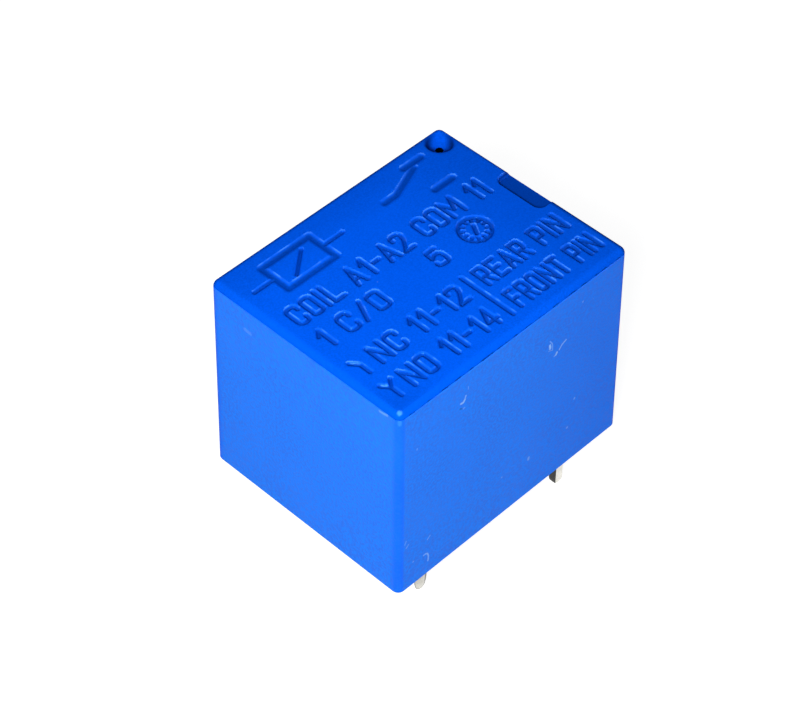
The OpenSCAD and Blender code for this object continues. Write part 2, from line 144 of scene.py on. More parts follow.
class WorksSizes(bpy.types.PropertyGroup):
    """Sizes of the metal and moulded pieces under the case"""

    strip_edge: length("Strip edge", "Rounding of the punched strip's edges", 0.05 * MM)
    dip: length("Dip", "Height below which the pins are dipped in tin", 0.12 * MM)
    flat_taper: length("Flat taper", "Length over which a flat pin narrows to its tip", 1.1 * MM)
    wire_round: length("Wire round", "Rounding of a dipped coil pin", 0.09 * MM)
    wire_taper: length("Wire taper", "Length over which a coil pin narrows to its tip", 0.4 * MM)
    meniscus: length("Meniscus", "How far the resin climbs what it touches", 0.09 * MM)
    wire: length("Wire", "Pitch of the winding's turns", 0.14 * MM)
    spring_cuts: IntProperty(
        name="Spring cuts", description="Cuts across the spring where it flexes", default=8, min=2
    )


class Finishes(bpy.types.PropertyGroup):
    """Colours of the finishes"""

    wall: colour("Wall", "Matt blue of the case's walls", (0.008, 0.180, 0.95))
    edge: colour("Edge", "Smooth blue of the upright edges", (0.0005, 0.137, 1.0))
    roof: colour("Roof", "Deep smooth blue of the roof", (0.0002, 0.099, 0.84))
    # Colour of the painted highlights at the near corner, standing in for the lamp's glints
    worn: colour("Worn", "Bright plastic where the near corner is rubbed", (0.10, 0.45, 1.0))
    scuff: colour("Scuff", "Pale plastic where the walls are scuffed", (0.27, 0.50, 1.0))
    base: colour("Base", "Blue of the moulded base", (0.008, 0.085, 0.42))
    resin: colour("Resin", "Dark blue of the sealing resin", (0.008, 0.022, 0.09))
    bobbin: colour("Bobbin", "Black of the bobbin", (0.018, 0.019, 0.021))
    copper: colour("Copper", "Enamelled copper of the winding", (0.46, 0.125, 0.03))
    steel: colour("Steel", "Plated steel of the magnet", (0.47, 0.48, 0.49))
    bronze: colour("Bronze", "Bronze of the contact spring", (0.58, 0.31, 0.1))
    silver: colour("Silver", "Silver of the contacts", (0.78, 0.77, 0.73))
    tin: colour("Tin", "Tin on the terminals", (0.60, 0.585, 0.53))


class StageSizes(bpy.types.PropertyGroup):
    """Floor and light of the studio"""

    floor: length("Floor", "Side of the floor", 1.2)
    sky: brightness("Sky", "Level of the light from all round", 0.13)
    key: brightness("Key", "Level of the lamp over the camera's shoulder", 1.15)
    end: brightness("End", "Level of the wide lamp on the contact end", 0.05)
    side: brightness("Side", "Level of the wide lamp on the long side", 0.17)


# Selecting and shaping


def clear_selection():
    if bpy.context.object and bpy.context.object.mode != "OBJECT":
        bpy.ops.object.mode_set(mode="OBJECT")
    bpy.ops.object.select_all(action="DESELECT")


def take(*objs):
    """Selects these objects alone; the first is active."""
    clear_selection()
    for obj in objs:
        obj.select_set(True)
    bpy.context.view_layer.objects.active = objs[0]


def settle(name):
    """Names the new object and puts its place into its mesh."""
    obj = bpy.context.object
    obj.name = name
    obj.data.name = name
    bpy.ops.object.transform_apply(location=True, rotation=True, scale=True)
    return obj


def choose(obj, kind, test):
    """Goes into edit mode with the vertices, edges or polygons that pass the test selected."""
    take(obj)
    mesh = obj.data
    for group in (mesh.vertices, mesh.edges, mesh.polygons):
        group.foreach_set("select", [False] * len(group))
    found = [part for part in getattr(mesh, kind) if test(part)]
    if not found:
        raise RuntimeError(f"nothing to select among the {kind} of {obj.name}")
    for part in found:
        part.select = True
    bpy.context.tool_settings.mesh_select_mode = tuple(kind == k for k in ("vertices", "edges", "polygons"))
    bpy.ops.object.mode_set(mode="EDIT")


def all_of(obj):
    """Goes into edit mode with everything selected."""
    take(obj)
    bpy.ops.object.mode_set(mode="EDIT")
    bpy.ops.mesh.select_all(action="SELECT")


def leave():
    bpy.ops.object.mode_set(mode="OBJECT")


def face_out():
    """Turns every face outwards and leaves edit mode."""
    bpy.ops.mesh.select_all(action="SELECT")
    bpy.ops.mesh.normals_make_consistent(inside=False)
    leave()


def ends(obj, edge):
    """The two end points of an edge."""
    return [obj.data.vertices[i].co for i in edge.vertices]


def block(name, low, high):
    """A cube between two corners."""
    clear_selection()
    middle = [(a + b) / 2 for a, b in zip(low, high)]
    size = [b - a for a, b in zip(low, high)]
    bpy.ops.mesh.primitive_cube_add(size=1, location=middle, scale=size)
    return settle(name)


def upright_edges(obj):
    """A test for edges that run from one height to another."""
    return lambda e: abs(ends(obj, e)[0].z - ends(obj, e)[1].z) > 10 * MERGE


def extrude(rise, factors, centre):
    """Extrudes the selected face upwards and scales its new end about a centre."""
    bpy.ops.mesh.extrude_region_move(TRANSFORM_OT_translate={"value": (0, 0, rise)})
    bpy.ops.transform.resize(value=(*factors, 1), center_override=centre)


def draw_out(x, y, profile):
    """Extrudes the selected face along an upright axis through (width, height) pairs."""
    for (width, z), (next_width, next_z) in zip(profile, profile[1:]):
        extrude(next_z - z, [next_width / width] * 2, (x, y, next_z))
    face_out()


def turned(name, x, y, profile, sides=48):
    """A solid turned about an upright axis, from (radius, height) pairs, lowest first."""
    clear_selection()
    radius, z = profile[0]
    bpy.ops.mesh.primitive_circle_add(vertices=sides, radius=radius, fill_type="NGON", location=(x, y, z))
    obj = settle(name)
    all_of(obj)
    draw_out(x, y, profile)
    return obj


def cut(obj, tool):
    """Cuts one solid with another, which is used up."""
    take(obj)
    step = obj.modifiers.new("cut", "BOOLEAN")
    step.operation = "DIFFERENCE"
    step.solver = "EXACT"
    step.object = tool
    bpy.ops.object.modifier_apply(modifier=step.name)
    bpy.data.objects.remove(tool, do_unlink=True)


def slice_level(obj, heights):
    """Cuts level edges into a mesh at these heights."""
    all_of(obj)
    for height in heights:
        bpy.ops.mesh.select_all(action="SELECT")
        bpy.ops.mesh.bisect(plane_co=(0, 0, height), plane_no=(0, 0, 1), threshold=MERGE)
    leave()


def smooth(obj, degrees=32):
    """Smooth shading that keeps flat faces flat."""
    take(obj)
    bpy.ops.object.shade_smooth_by_angle(angle=math.radians(degrees))
    step = obj.modifiers.new("even", "WEIGHTED_NORMAL")
    step.keep_sharp = True
    step.weight = 100
    bpy.ops.object.modifier_apply(modifier=step.name)


def hand_over(obj, material, node, body=FIXED):
    """Gives a finished piece its material and body, and hides the node it stands for."""
    if material:
        obj.data.materials.clear()
        obj.data.materials.append(material)
    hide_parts(node)
    if body:
        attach(obj, body)
    clear_selection()


def dress(material, *nodes):
    """Gives CAD nodes that stay a finish."""
    for name in nodes:
        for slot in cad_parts[name].material_slots:
            slot.material = material


def merged_copy(node, name):
    """A copy of a CAD node with its triangles joined into faces."""
    obj = bpy.data.objects.new(name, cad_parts[node].data.copy())
    bpy.context.scene.collection.objects.link(obj)
    all_of(obj)
    bpy.ops.mesh.remove_doubles(threshold=MERGE)
    bpy.ops.mesh.dissolve_limited(angle_limit=math.radians(0.5))
    leave()
    return obj


def break_edges(obj, width):
    """Rounds every sharp edge of a punched piece."""
    all_of(obj)
    bpy.context.tool_settings.mesh_select_mode = (False, True, False)
    bpy.ops.mesh.select_all(action="DESELECT")
    bpy.ops.mesh.edges_select_sharp(sharpness=math.radians(35))
    bpy.ops.mesh.bevel(offset=width, segments=3, affect="EDGES", clamp_overlap=True)
    leave()


def half_spans(case, height):
    """Half the case's length and width at a height, which may be a number or a shader's value."""
    lean = height * math.tan(case.draft)
    return case.rim_length / 2 - lean, case.rim_width / 2 - lean


def vent_spot(case):
    """Where the vent stands on the roof."""
    return [half - case.vent_inset for half in half_spans(case, case.height)]


# Shader nodes


class Value:
    """A node's output; reckoning with it adds nodes to its tree"""

    def __init__(self, socket):
        self.socket = socket
        self.tree = socket.id_data

    def __add__(self, other):
        return maths("ADD", self, other)

    def __sub__(self, other):
        return maths("SUBTRACT", self, other)

    def __rsub__(self, other):
        return maths("SUBTRACT", other, self)

    def __mul__(self, other):
        return maths("MULTIPLY", self, other)

    def __truediv__(self, other):
        return maths("DIVIDE", self, other)

    def __rtruediv__(self, other):
        return maths("DIVIDE", other, self)

    def __abs__(self):
        return maths("ABSOLUTE", self)

    def parts(self):
        """The three parts of a vector."""
        made = put(self.tree, "ShaderNodeSeparateXYZ", {"Vector": self})
        return made["X"], made["Y"], made["Z"]

    def noise(self, scale, detail):
        """Soft noise over this place."""
        return put(self.tree, "ShaderNodeTexNoise", {"Vector": self, "Scale": scale, "Detail": detail})["Fac"]

    def spread(self, low, high, out_low=0.0, out_high=1.0):
        """A range of this value stretched smoothly to another."""
        sockets = {"Value": self, "From Min": low, "From Max": high, "To Min": out_low, "To Max": out_high}
        return put(self.tree, "ShaderNodeMapRange", sockets, interpolation_type="SMOOTHSTEP")[0]

    def blend(self, a, b):
        """One colour that turns into another as this value goes from 0 to 1."""
        return put(self.tree, "ShaderNodeMix", {0: self, 6: a, 7: b}, data_type="RGBA")[2]


def plug(value, socket):
    """Gives a socket a number, a colour or another node's output."""
    if isinstance(value, Value):
        value.tree.links.new(value.socket, socket)
    else:
        socket.default_value = value


def put(tree, kind, sockets=None, **settings):
    """Adds a node and returns its outputs, by number and by name."""
    made = tree.nodes.new(kind)
    for key, value in settings.items():
        setattr(made, key, value)
    for key, value in (sockets or {}).items():
        plug(value, made.inputs[key])
    return {key: Value(out) for number, out in enumerate(made.outputs) for key in (out.name, number)}


def maths(operation, *values, **settings):
    """A sum of numbers and nodes' outputs."""
    tree = next(value.tree for value in values if isinstance(value, Value))
    return put(tree, "ShaderNodeMath", dict(enumerate(values)), operation=operation, **settings)[0]


def vectors(operation, a, b):
    """A sum of two vectors, or of a vector and its scale."""
    other = "Scale" if operation == "SCALE" else 1
    made = put(a.tree, "ShaderNodeVectorMath", {0: a, other: b}, operation=operation)
    return made["Value" if operation in ("DOT_PRODUCT", "DISTANCE") else "Vector"]


def moulded_skin(vector, grain_size, cloud_size):
    """Grain and cloudiness of a moulded plastic face."""
    grain = vector.noise(1.0 / grain_size, 2.0)
    cloud = vector.noise(1.0 / cloud_size, 4.0)
    return {"Grain": grain.spread(0.3, 0.7), "Cloud": cloud.spread(0.3, 0.7)}


def scratch_mark(vector, start, end, width, strength):
    """A broken scratch between two points."""
    along = vectors("SUBTRACT", end, start)
    here = vectors("SUBTRACT", vector, start)
    whole = maths("MAXIMUM", vectors("DOT_PRODUCT", along, along), 1e-12)
    share = maths("DIVIDE", vectors("DOT_PRODUCT", here, along), whole, use_clamp=True)
    gap = vectors("DISTANCE", here, vectors("SCALE", along, share))
    ragged = width * (vector.noise(16000.0, 2.0) + 0.5)
    return {"Mask": (gap / ragged).spread(0.35, 1.0, 1.0, 0.0) * strength}


def dust_specks(vector, spacing, size, share):
    """Scattered specks, each of its own size."""
    cells = put(vector.tree, "ShaderNodeTexVoronoi", {"Vector": vector, "Scale": 1.0 / spacing})
    lot = put(vector.tree, "ShaderNodeSeparateColor", {"Color": cells["Color"]})
    reach = size * (lot["Green"] + 0.3)
    spot = (cells["Distance"] / reach).spread(0.5, 1.0, 1.0, 0.0)
    return {"Mask": spot * maths("LESS_THAN", lot["Red"], share)}


def drawn_metal(vector, line_stretch, line_size, blotch_size):
    """Rolling lines and blotches of metal strip."""
    lines = vectors("MULTIPLY", vector, line_stretch).noise(1.0 / line_size, 3.0)
    blotches = vector.noise(1.0 / blotch_size, 3.0)
    return {"Lines": lines.spread(0.3, 0.7), "Blotches": blotches.spread(0.3, 0.7)}


GROUPS = {}


def effect(maker, vector, **values):
    """A shared group, made at its first use, placed in a material with its own values."""
    inputs = {"vector": vector, **values}
    labels = {name: name.replace("_", " ").title() for name in inputs}
    if maker not in GROUPS:
        group = bpy.data.node_groups.new(maker.__name__, "ShaderNodeTree")
        for name, value in inputs.items():
            kind = "NodeSocketFloat" if isinstance(value, float) else "NodeSocketVector"
            socket = group.interface.new_socket(name=labels[name], in_out="INPUT", socket_type=kind)
            if value is not vector:
                socket.default_value = value
        given = put(group, "NodeGroupInput")
        made = maker(**{name: given[label] for name, label in labels.items()})
        for label in made:
            group.interface.new_socket(name=label, in_out="OUTPUT", socket_type="NodeSocketFloat")
        put(group, "NodeGroupOutput", made)
        GROUPS[maker] = group
    sockets = {labels[name]: value for name, value in inputs.items()}
    return put(vector.tree, "ShaderNodeGroup", sockets, node_tree=GROUPS[maker])


def feed(shader, **sockets):
    """Sets or links a shader's sockets."""
    for key, value in sockets.items():
        plug(value, shader.inputs[key.replace("_", " ")])


def bump(shader, height, distance, strength=0.5):
    """Raises the surface by a value, without changing its mesh."""
    sockets = {"Height": height, "Distance": distance, "Strength": strength}
    feed(shader, Normal=put(height.tree, "ShaderNodeBump", sockets)["Normal"])


def new_material(name, **constants):
    """A material with one Principled shader; returns it with its shader and Object coordinates."""
    made = bpy.data.materials.new(name)
    made.use_nodes = True
    shader = made.node_tree.nodes["Principled BSDF"]
    feed(shader, **constants)
    return made, shader, put(made.node_tree, "ShaderNodeTexCoord")["Object"]


def tone(rgb, share, green=1.0):
    """A colour made lighter or darker, and its green further."""
    red, mid, blue = (min(1.0, c * share) for c in rgb[:3])
    return red, min(1.0, mid * green), blue, 1.0


# Finishes


# Fixed colours: painted shade at the front wall's far end and along the roof's far edges, dirt, painted
# highlights on the marks' edges and the tint of their gloss, and the vent bore's painted shade
FAR_END_SHADE = (0.0, 0.1, 0.75, 1.0)
EDGE_SHADE = (0.0, 0.008, 0.07, 1.0)
GRIME = (0.001, 0.016, 0.09, 1.0)
PAINTED_GLINT = (0.09, 0.35, 1.0, 1.0)
GLOSS_TINT = (0.2, 0.7, 1.0, 1.0)
BORE_DARK = (0.0, 0.001, 0.004, 1.0)
BORE_LIGHT = (0.001, 0.003, 0.01, 1.0)

# Scuffs: wall, points along the wall and up it, half width and strength, in millimetres
SCUFFS = [
    ("front", [(-4.16, 12.82), (-4.25, 12.53)], 0.07, 0.7),
    ("front", [(-4.25, 12.53), (-4.37, 12.4), (-4.54, 12.45)], 0.11, 0.95),
    ("front", [(-4.34, 11.89), (-4.25, 11.91)], 0.07, 0.45),
    ("front", [(-3.97, 13.4), (-3.97, 13.21)], 0.05, 0.4),
    ("front", [(2.88, 11.65), (2.92, 11.38)], 0.13, 1.0),
    ("front", [(2.88, 11.98), (3.1, 11.63), (3.13, 11.11)], 0.06, 0.5),
    ("front", [(2.78, 11.25), (3.12, 11.1)], 0.05, 0.4),
    ("front", [(4.29, 11.11), (3.94, 10.95), (3.74, 10.7)], 0.08, 0.75),
    ("front", [(3.53, 10.61), (3.46, 10.49)], 0.12, 0.95),
    ("front", [(3.46, 10.49), (3.31, 10.45)], 0.08, 0.5),
    ("front", [(-8.93, 4.29), (-9.05, 4.07)], 0.06, 0.5),
    ("front", [(-8.74, 3.85), (-8.92, 3.68)], 0.07, 0.5),
    ("front", [(-6.96, 3.16), (-7.18, 2.97)], 0.07, 0.5),
    ("front", [(-7.49, 1.8), (-7.34, 1.81), (-7.17, 1.72), (-7.08, 1.46), (-7.12, 1.04)], 0.08, 0.65),
    ("front", [(-8.37, 1.99), (-8.34, 1.99)], 0.08, 0.5),
    ("front", [(1.46, 3.02), (1.48, 3.16)], 0.13, 0.6),
    ("front", [(4.89, 3.15), (4.9, 3.16)], 0.12, 0.5),
    ("front", [(5.4, 5.3), (5.42, 5.34)], 0.1, 0.6),
    ("front", [(-0.88, 3.29), (-0.87, 3.3)], 0.08, 0.5),
    ("front", [(5.6, 13.26), (5.61, 13.27)], 0.09, 0.5),
    ("front", [(-8.06, 11.4), (-8.05, 11.48)], 0.07, 0.4),
    ("end", [(-6.06, 14.42), (-6.35, 14.45), (-6.6, 14.5)], 0.13, 0.38),
    ("end", [(4.7, 13.05), (4.3, 13.0)], 0.2, 0.18),
]
# A dark speck, and painted highlights at the near corner standing in for the lamp's glints there, in the same
# terms
STAINS = [("front", [(-4.61, 12.07), (-4.5, 11.99)], 0.09, 0.6)]
CORNER_GLINT_EDGE = [("corner", [(-9.29, 14.5), (-9.3, 14.3)], 0.16, 0.2)]
CORNER_GLINT_RIM = [("corner", [(-9.103, 14.959), (-9.106, 14.957)], 0.21, 0.5)]


def wall_point(sizes, wall, along, up):
    """A point on a leaning wall or the near corner's edge, in metres."""
    half_length, half_width = half_spans(sizes, up * MM)
    if wall == "front":
        return along * MM, -half_width, up * MM
    if wall == "end":
        return -half_length, along * MM, up * MM
    return along * MM, along * MM + half_length - half_width, up * MM


def scuffed(place, sizes, marks, shade, paint):
    """The shade with marks drawn over it: scuffs, stains, and at the near corner painted highlights."""
    mask = None
    for wall, path, width, strength in marks:
        spots = [wall_point(sizes, wall, *point) for point in path]
        for start, end in zip(spots, spots[1:]):
            values = {"start": start, "end": end, "width": width * MM, "strength": strength}
            mark = effect(scratch_mark, place, **values)["Mask"]
            mask = mark if mask is None else maths("MAXIMUM", mask, mark)
    return mask.blend(shade, paint)


def case_wall_finish(sizes, finish):
    """Spark-eroded matt walls with smoother upright edges, faint clouds, scuffs and specks, painted shade
    towards the front wall's far end and painted highlights by the near corner.
    """
    made, shader, place = new_material("case_wall", Specular_IOR_Level=0.2)
    skin = effect(moulded_skin, place, grain_size=0.17 * MM, cloud_size=3.5 * MM)
    specks = effect(dust_specks, place, spacing=1.3 * MM, size=0.05, share=0.35)["Mask"]
    shade = skin["Grain"].blend(tone(finish.wall, 0.89, 0.88), tone(finish.wall, 1.06, 1.16))
    shade = (skin["Cloud"] * 0.4).blend(shade, tone(finish.wall, 1.1))
    x, y, z = place.parts()
    half_length, half_width = half_spans(sizes, z)
    by_end = (half_length - abs(x)).spread(0.28 * MM, 0.52 * MM, 1.0, 0.0)
    by_side = (half_width - abs(y)).spread(0.2 * MM, 0.75 * MM, 1.0, 0.0)
    # Painted shade: the front wall gets darker towards its far end, where less light falls
    front = y.spread(-7.2 * MM, -6.9 * MM, 1.0, 0.0)
    far = front * x.spread(-1 * MM, 9 * MM)
    shade = (far * 0.27).blend(shade, FAR_END_SHADE)
    rubbed = skin["Cloud"].blend(tone(finish.edge, 0.95), tone(finish.edge, 1.04))
    shade = maths("MINIMUM", by_end, by_side).blend(shade, rubbed)
    shade = (specks * 0.5).blend(shade, tone(finish.scuff, 1.0))
    shade = scuffed(place, sizes, SCUFFS, shade, tone(finish.scuff, 1.0))
    shade = scuffed(place, sizes, STAINS, shade, tone(finish.wall, 0.4))
    # Painted highlights on the near corner's upright edge
    shade = scuffed(place, sizes, CORNER_GLINT_EDGE, shade, tone(finish.worn, 1.0))
    feed(shader, Base_Color=shade, Roughness=skin["Grain"].spread(0.0, 1.0, 0.52, 0.68))
    bump(shader, skin["Grain"], 0.018 * MM)
    return made


def roof_shade(place, sizes, finish):
    """Deep blue of the roof with grain, clouds and specks, with painted shade towards the far end and far
    edges, and darker at the near corner.
    """
    skin = effect(moulded_skin, place, grain_size=0.11 * MM, cloud_size=3 * MM)
    specks = effect(dust_specks, place, spacing=1.6 * MM, size=0.045, share=0.3)["Mask"]
    shade = skin["Grain"].blend(tone(finish.roof, 0.9), tone(finish.roof, 1.07))
    shade = (skin["Cloud"] * 0.4).blend(shade, tone(finish.roof, 1.06))
    shade = (specks * 0.3).blend(shade, tone(finish.scuff, 0.6))
    x, y, z = place.parts()
    top = sizes.height
    end_x, side_y = half_spans(sizes, top)
    # Painted shade: the roof darkens towards its far end and far side, where less light falls; it is also
    # darker at the near corner
    far = maths("MAXIMUM", x.spread(1 * MM, 9 * MM, 0.0, 0.17), y.spread(4 * MM, 7 * MM, 0.0, 0.13))
    near = (x + y).spread(-15.8 * MM, -12.5 * MM, 0.17, 0.0) * z.spread(top - 0.04 * MM, top - 0.01 * MM)
    shade = maths("MAXIMUM", far, near).blend(shade, BLACK)
    # Painted shade along the far top edges, which face away from the light
    hinge = (end_x - x).spread(0.1 * MM, 0.55 * MM, 0.55, 0.0) * z.spread(top - 0.3 * MM, top - 0.2 * MM)
    rear = (side_y - y).spread(0.1 * MM, 0.5 * MM, 0.6, 0.0) * x.spread(-9.4 * MM, 8 * MM, 0.5, 0.92)
    shade = maths("MAXIMUM", hinge, rear).blend(shade, EDGE_SHADE)
    return skin, shade


def case_roof_finish(sizes, finish, name, gloss, glint_strength):
    """Smooth roof with painted shade in its hollows and, here and there along the upper edges of its marks,
    painted highlights.
    """
    made, shader, place = new_material(name, Specular_IOR_Level=gloss, Specular_Tint=GLOSS_TINT)
    skin, shade = roof_shade(place, sizes, finish)
    x, y, z = place.parts()
    depth = sizes.height - z
    vent_x, vent_y = vent_spot(sizes)
    off_x, off_y = x - vent_x, y - vent_y
    # Painted shade in the hollows: on the dish's flanks and near side, and at the bottoms of the marks and
    # the notch
    flanks = abs(off_x - off_y).spread(0.3 * MM, 1.15 * MM, 0.0, 0.8)
    front = (off_x + off_y).spread(-0.35 * MM, 0.5 * MM, 0.6, 0.05)
    dish_shade = maths("MAXIMUM", flanks, front) * depth.spread(0.03 * MM, 0.3 * MM)
    sunk_shade = depth.spread(0.03 * MM, 0.12 * MM, 0.0, 0.5)
    off = maths("SQRT", off_x * off_x + off_y * off_y)
    by_dish = off.spread(1.15 * MM, 1.3 * MM, 1.0, 0.0)
    hollow = by_dish * dish_shade + (1.0 - by_dish) * sunk_shade
    shade = hollow.blend(shade, tone(finish.roof, 0.08))
    # Painted highlights, in patches, on the upper edges of the marks, standing in for the key lamp's glints
    patches = place.noise(1 / (0.8 * MM), 1.0).spread(0.42, 0.62, 0.1, 1.0)
    glint_mask = depth.spread(0.01 * MM, 0.06 * MM, glint_strength, 0.0) * patches
    shade = glint_mask.blend(shade, PAINTED_GLINT)
    feed(shader, Base_Color=shade, Roughness=skin["Cloud"].spread(0.0, 1.0, 0.12, 0.18))
    bump(shader, skin["Grain"], 0.006 * MM)
    return made


def case_rim_finish(sizes, finish):
    """Round upper edges, without gloss, dirtied along the parting line, with painted highlights at the near
    corner.
    """
    made, shader, place = new_material("case_rim", Roughness=0.5, Specular_IOR_Level=0.0)
    skin, shade = roof_shade(place, sizes, finish)
    _, y, z = place.parts()
    ragged = place.noise(1900.0, 4.0)
    above = z - (sizes.height - sizes.parting_drop + sizes.groove_width / 2)
    reach = ragged.spread(0.42, 0.62, 0.05 * MM, 0.13 * MM)
    grime = (above / reach).spread(0.0, 1.0, 1.0, 0.0) * ragged.spread(0.42, 0.58, 0.4, 1.0)
    front = y.spread(-6.9 * MM, -6.6 * MM, 1.0, 0.15)
    shade = (grime * front).blend(shade, GRIME)
    # Painted highlights on the near corner's round edge
    shade = scuffed(place, sizes, CORNER_GLINT_RIM, shade, tone(finish.worn, 1.0))
    feed(shader, Base_Color=shade)
    bump(shader, skin["Grain"], 0.006 * MM)
    return made


def vent_finish():
    """The vent's bore, painted near-black as shade, since no light reaches it."""
    made, shader, place = new_material("vent_bore", Roughness=0.9, Specular_IOR_Level=0.0)
    cloud = effect(moulded_skin, place, grain_size=0.1 * MM, cloud_size=1 * MM)["Cloud"]
    feed(shader, Base_Color=cloud.blend(BORE_DARK, BORE_LIGHT))
    return made


def moulding(shader, place, rgb, tones, grain_size, cloud_size, roughness):
    """Cloudy colour and grainy roughness of a moulded or poured piece."""
    skin = effect(moulded_skin, place, grain_size=grain_size, cloud_size=cloud_size)
    feed(shader, Roughness=skin["Grain"].spread(0.0, 1.0, *roughness))
    return skin, skin["Cloud"].blend(*(tone(rgb, share) for share in tones))


def base_finish(finish):
    """Matt moulding of the base."""
    made, shader, place = new_material("base_moulding", Specular_IOR_Level=0.4)
    skin, shade = moulding(shader, place, finish.base, (0.9, 1.12), 0.15 * MM, 3 * MM, (0.48, 0.62))
    specks = effect(dust_specks, place, spacing=1.2 * MM, size=0.06, share=0.3)["Mask"]
    feed(shader, Base_Color=(specks * 0.4).blend(shade, tone(finish.scuff, 0.7)))
    bump(shader, skin["Grain"], 0.01 * MM)
    return made


def resin_finish(finish):
    """Poured resin with slow ripples and a few trapped bubbles."""
    made, shader, place = new_material("sealing_resin", Coat_Weight=0.4, Coat_Roughness=0.06)
    skin, shade = moulding(shader, place, finish.resin, (0.8, 1.5), 0.7 * MM, 3 * MM, (0.1, 0.22))
    bubbles = effect(dust_specks, place, spacing=0.8 * MM, size=0.12, share=0.25)["Mask"]
    feed(shader, Base_Color=(bubbles * 0.5).blend(shade, tone(finish.resin, 3.0)))
    bump(shader, skin["Grain"] + bubbles * 0.6, 0.03 * MM)
    return made


def bobbin_finish(finish):
    """Black moulding with pale glass-filled flow."""
    made, shader, place = new_material("bobbin_moulding", Specular_IOR_Level=0.45)
    skin, shade = moulding(shader, place, finish.bobbin, (0.8, 1.6), 0.1 * MM, 1.6 * MM, (0.42, 0.6))
    feed(shader, Base_Color=shade)
    bump(shader, skin["Grain"], 0.01 * MM)
    return made


def metal_finish(name, rgb, lines, line_size, low, high):
    """Plated or drawn metal with lines along its strip and duller blotches."""
    made, shader, place = new_material(name, Metallic=1.0)
    face = effect(drawn_metal, place, line_stretch=lines, line_size=line_size, blotch_size=0.8 * MM)
    dirt = effect(dust_specks, place, spacing=0.5 * MM, size=0.14, share=0.25)["Mask"]
    shade = face["Blotches"].blend(tone(rgb, 0.84), tone(rgb, 1.12))
    shade = (dirt * 0.35).blend(shade, tone(rgb, 0.5))
    worn = face["Lines"] * 0.5 + face["Blotches"] * 0.5
    feed(shader, Base_Color=shade, Roughness=worn.spread(0.0, 1.0, low, high))
    bump(shader, face["Lines"], 0.006 * MM, 0.4)
    return made


def copper_finish(finish):
    """Enamelled wire: blotched copper under a clear coat."""
    made, shader, place = new_material("winding_wire", Metallic=0.85, Coat_Weight=0.5)
    sizes = {"line_size": 0.5 * MM, "blotch_size": 1.1 * MM}
    face = effect(drawn_metal, place, line_stretch=(1.0, 1.0, 6.0), **sizes)
    shade = face["Blotches"].blend(tone(finish.copper, 0.75), tone(finish.copper, 1.2))
    feed(shader, Base_Color=shade, Roughness=face["Lines"].spread(0.0, 1.0, 0.22, 0.4))
    bump(shader, face["Lines"], 0.01 * MM, 0.3)
    return made


# Pieces


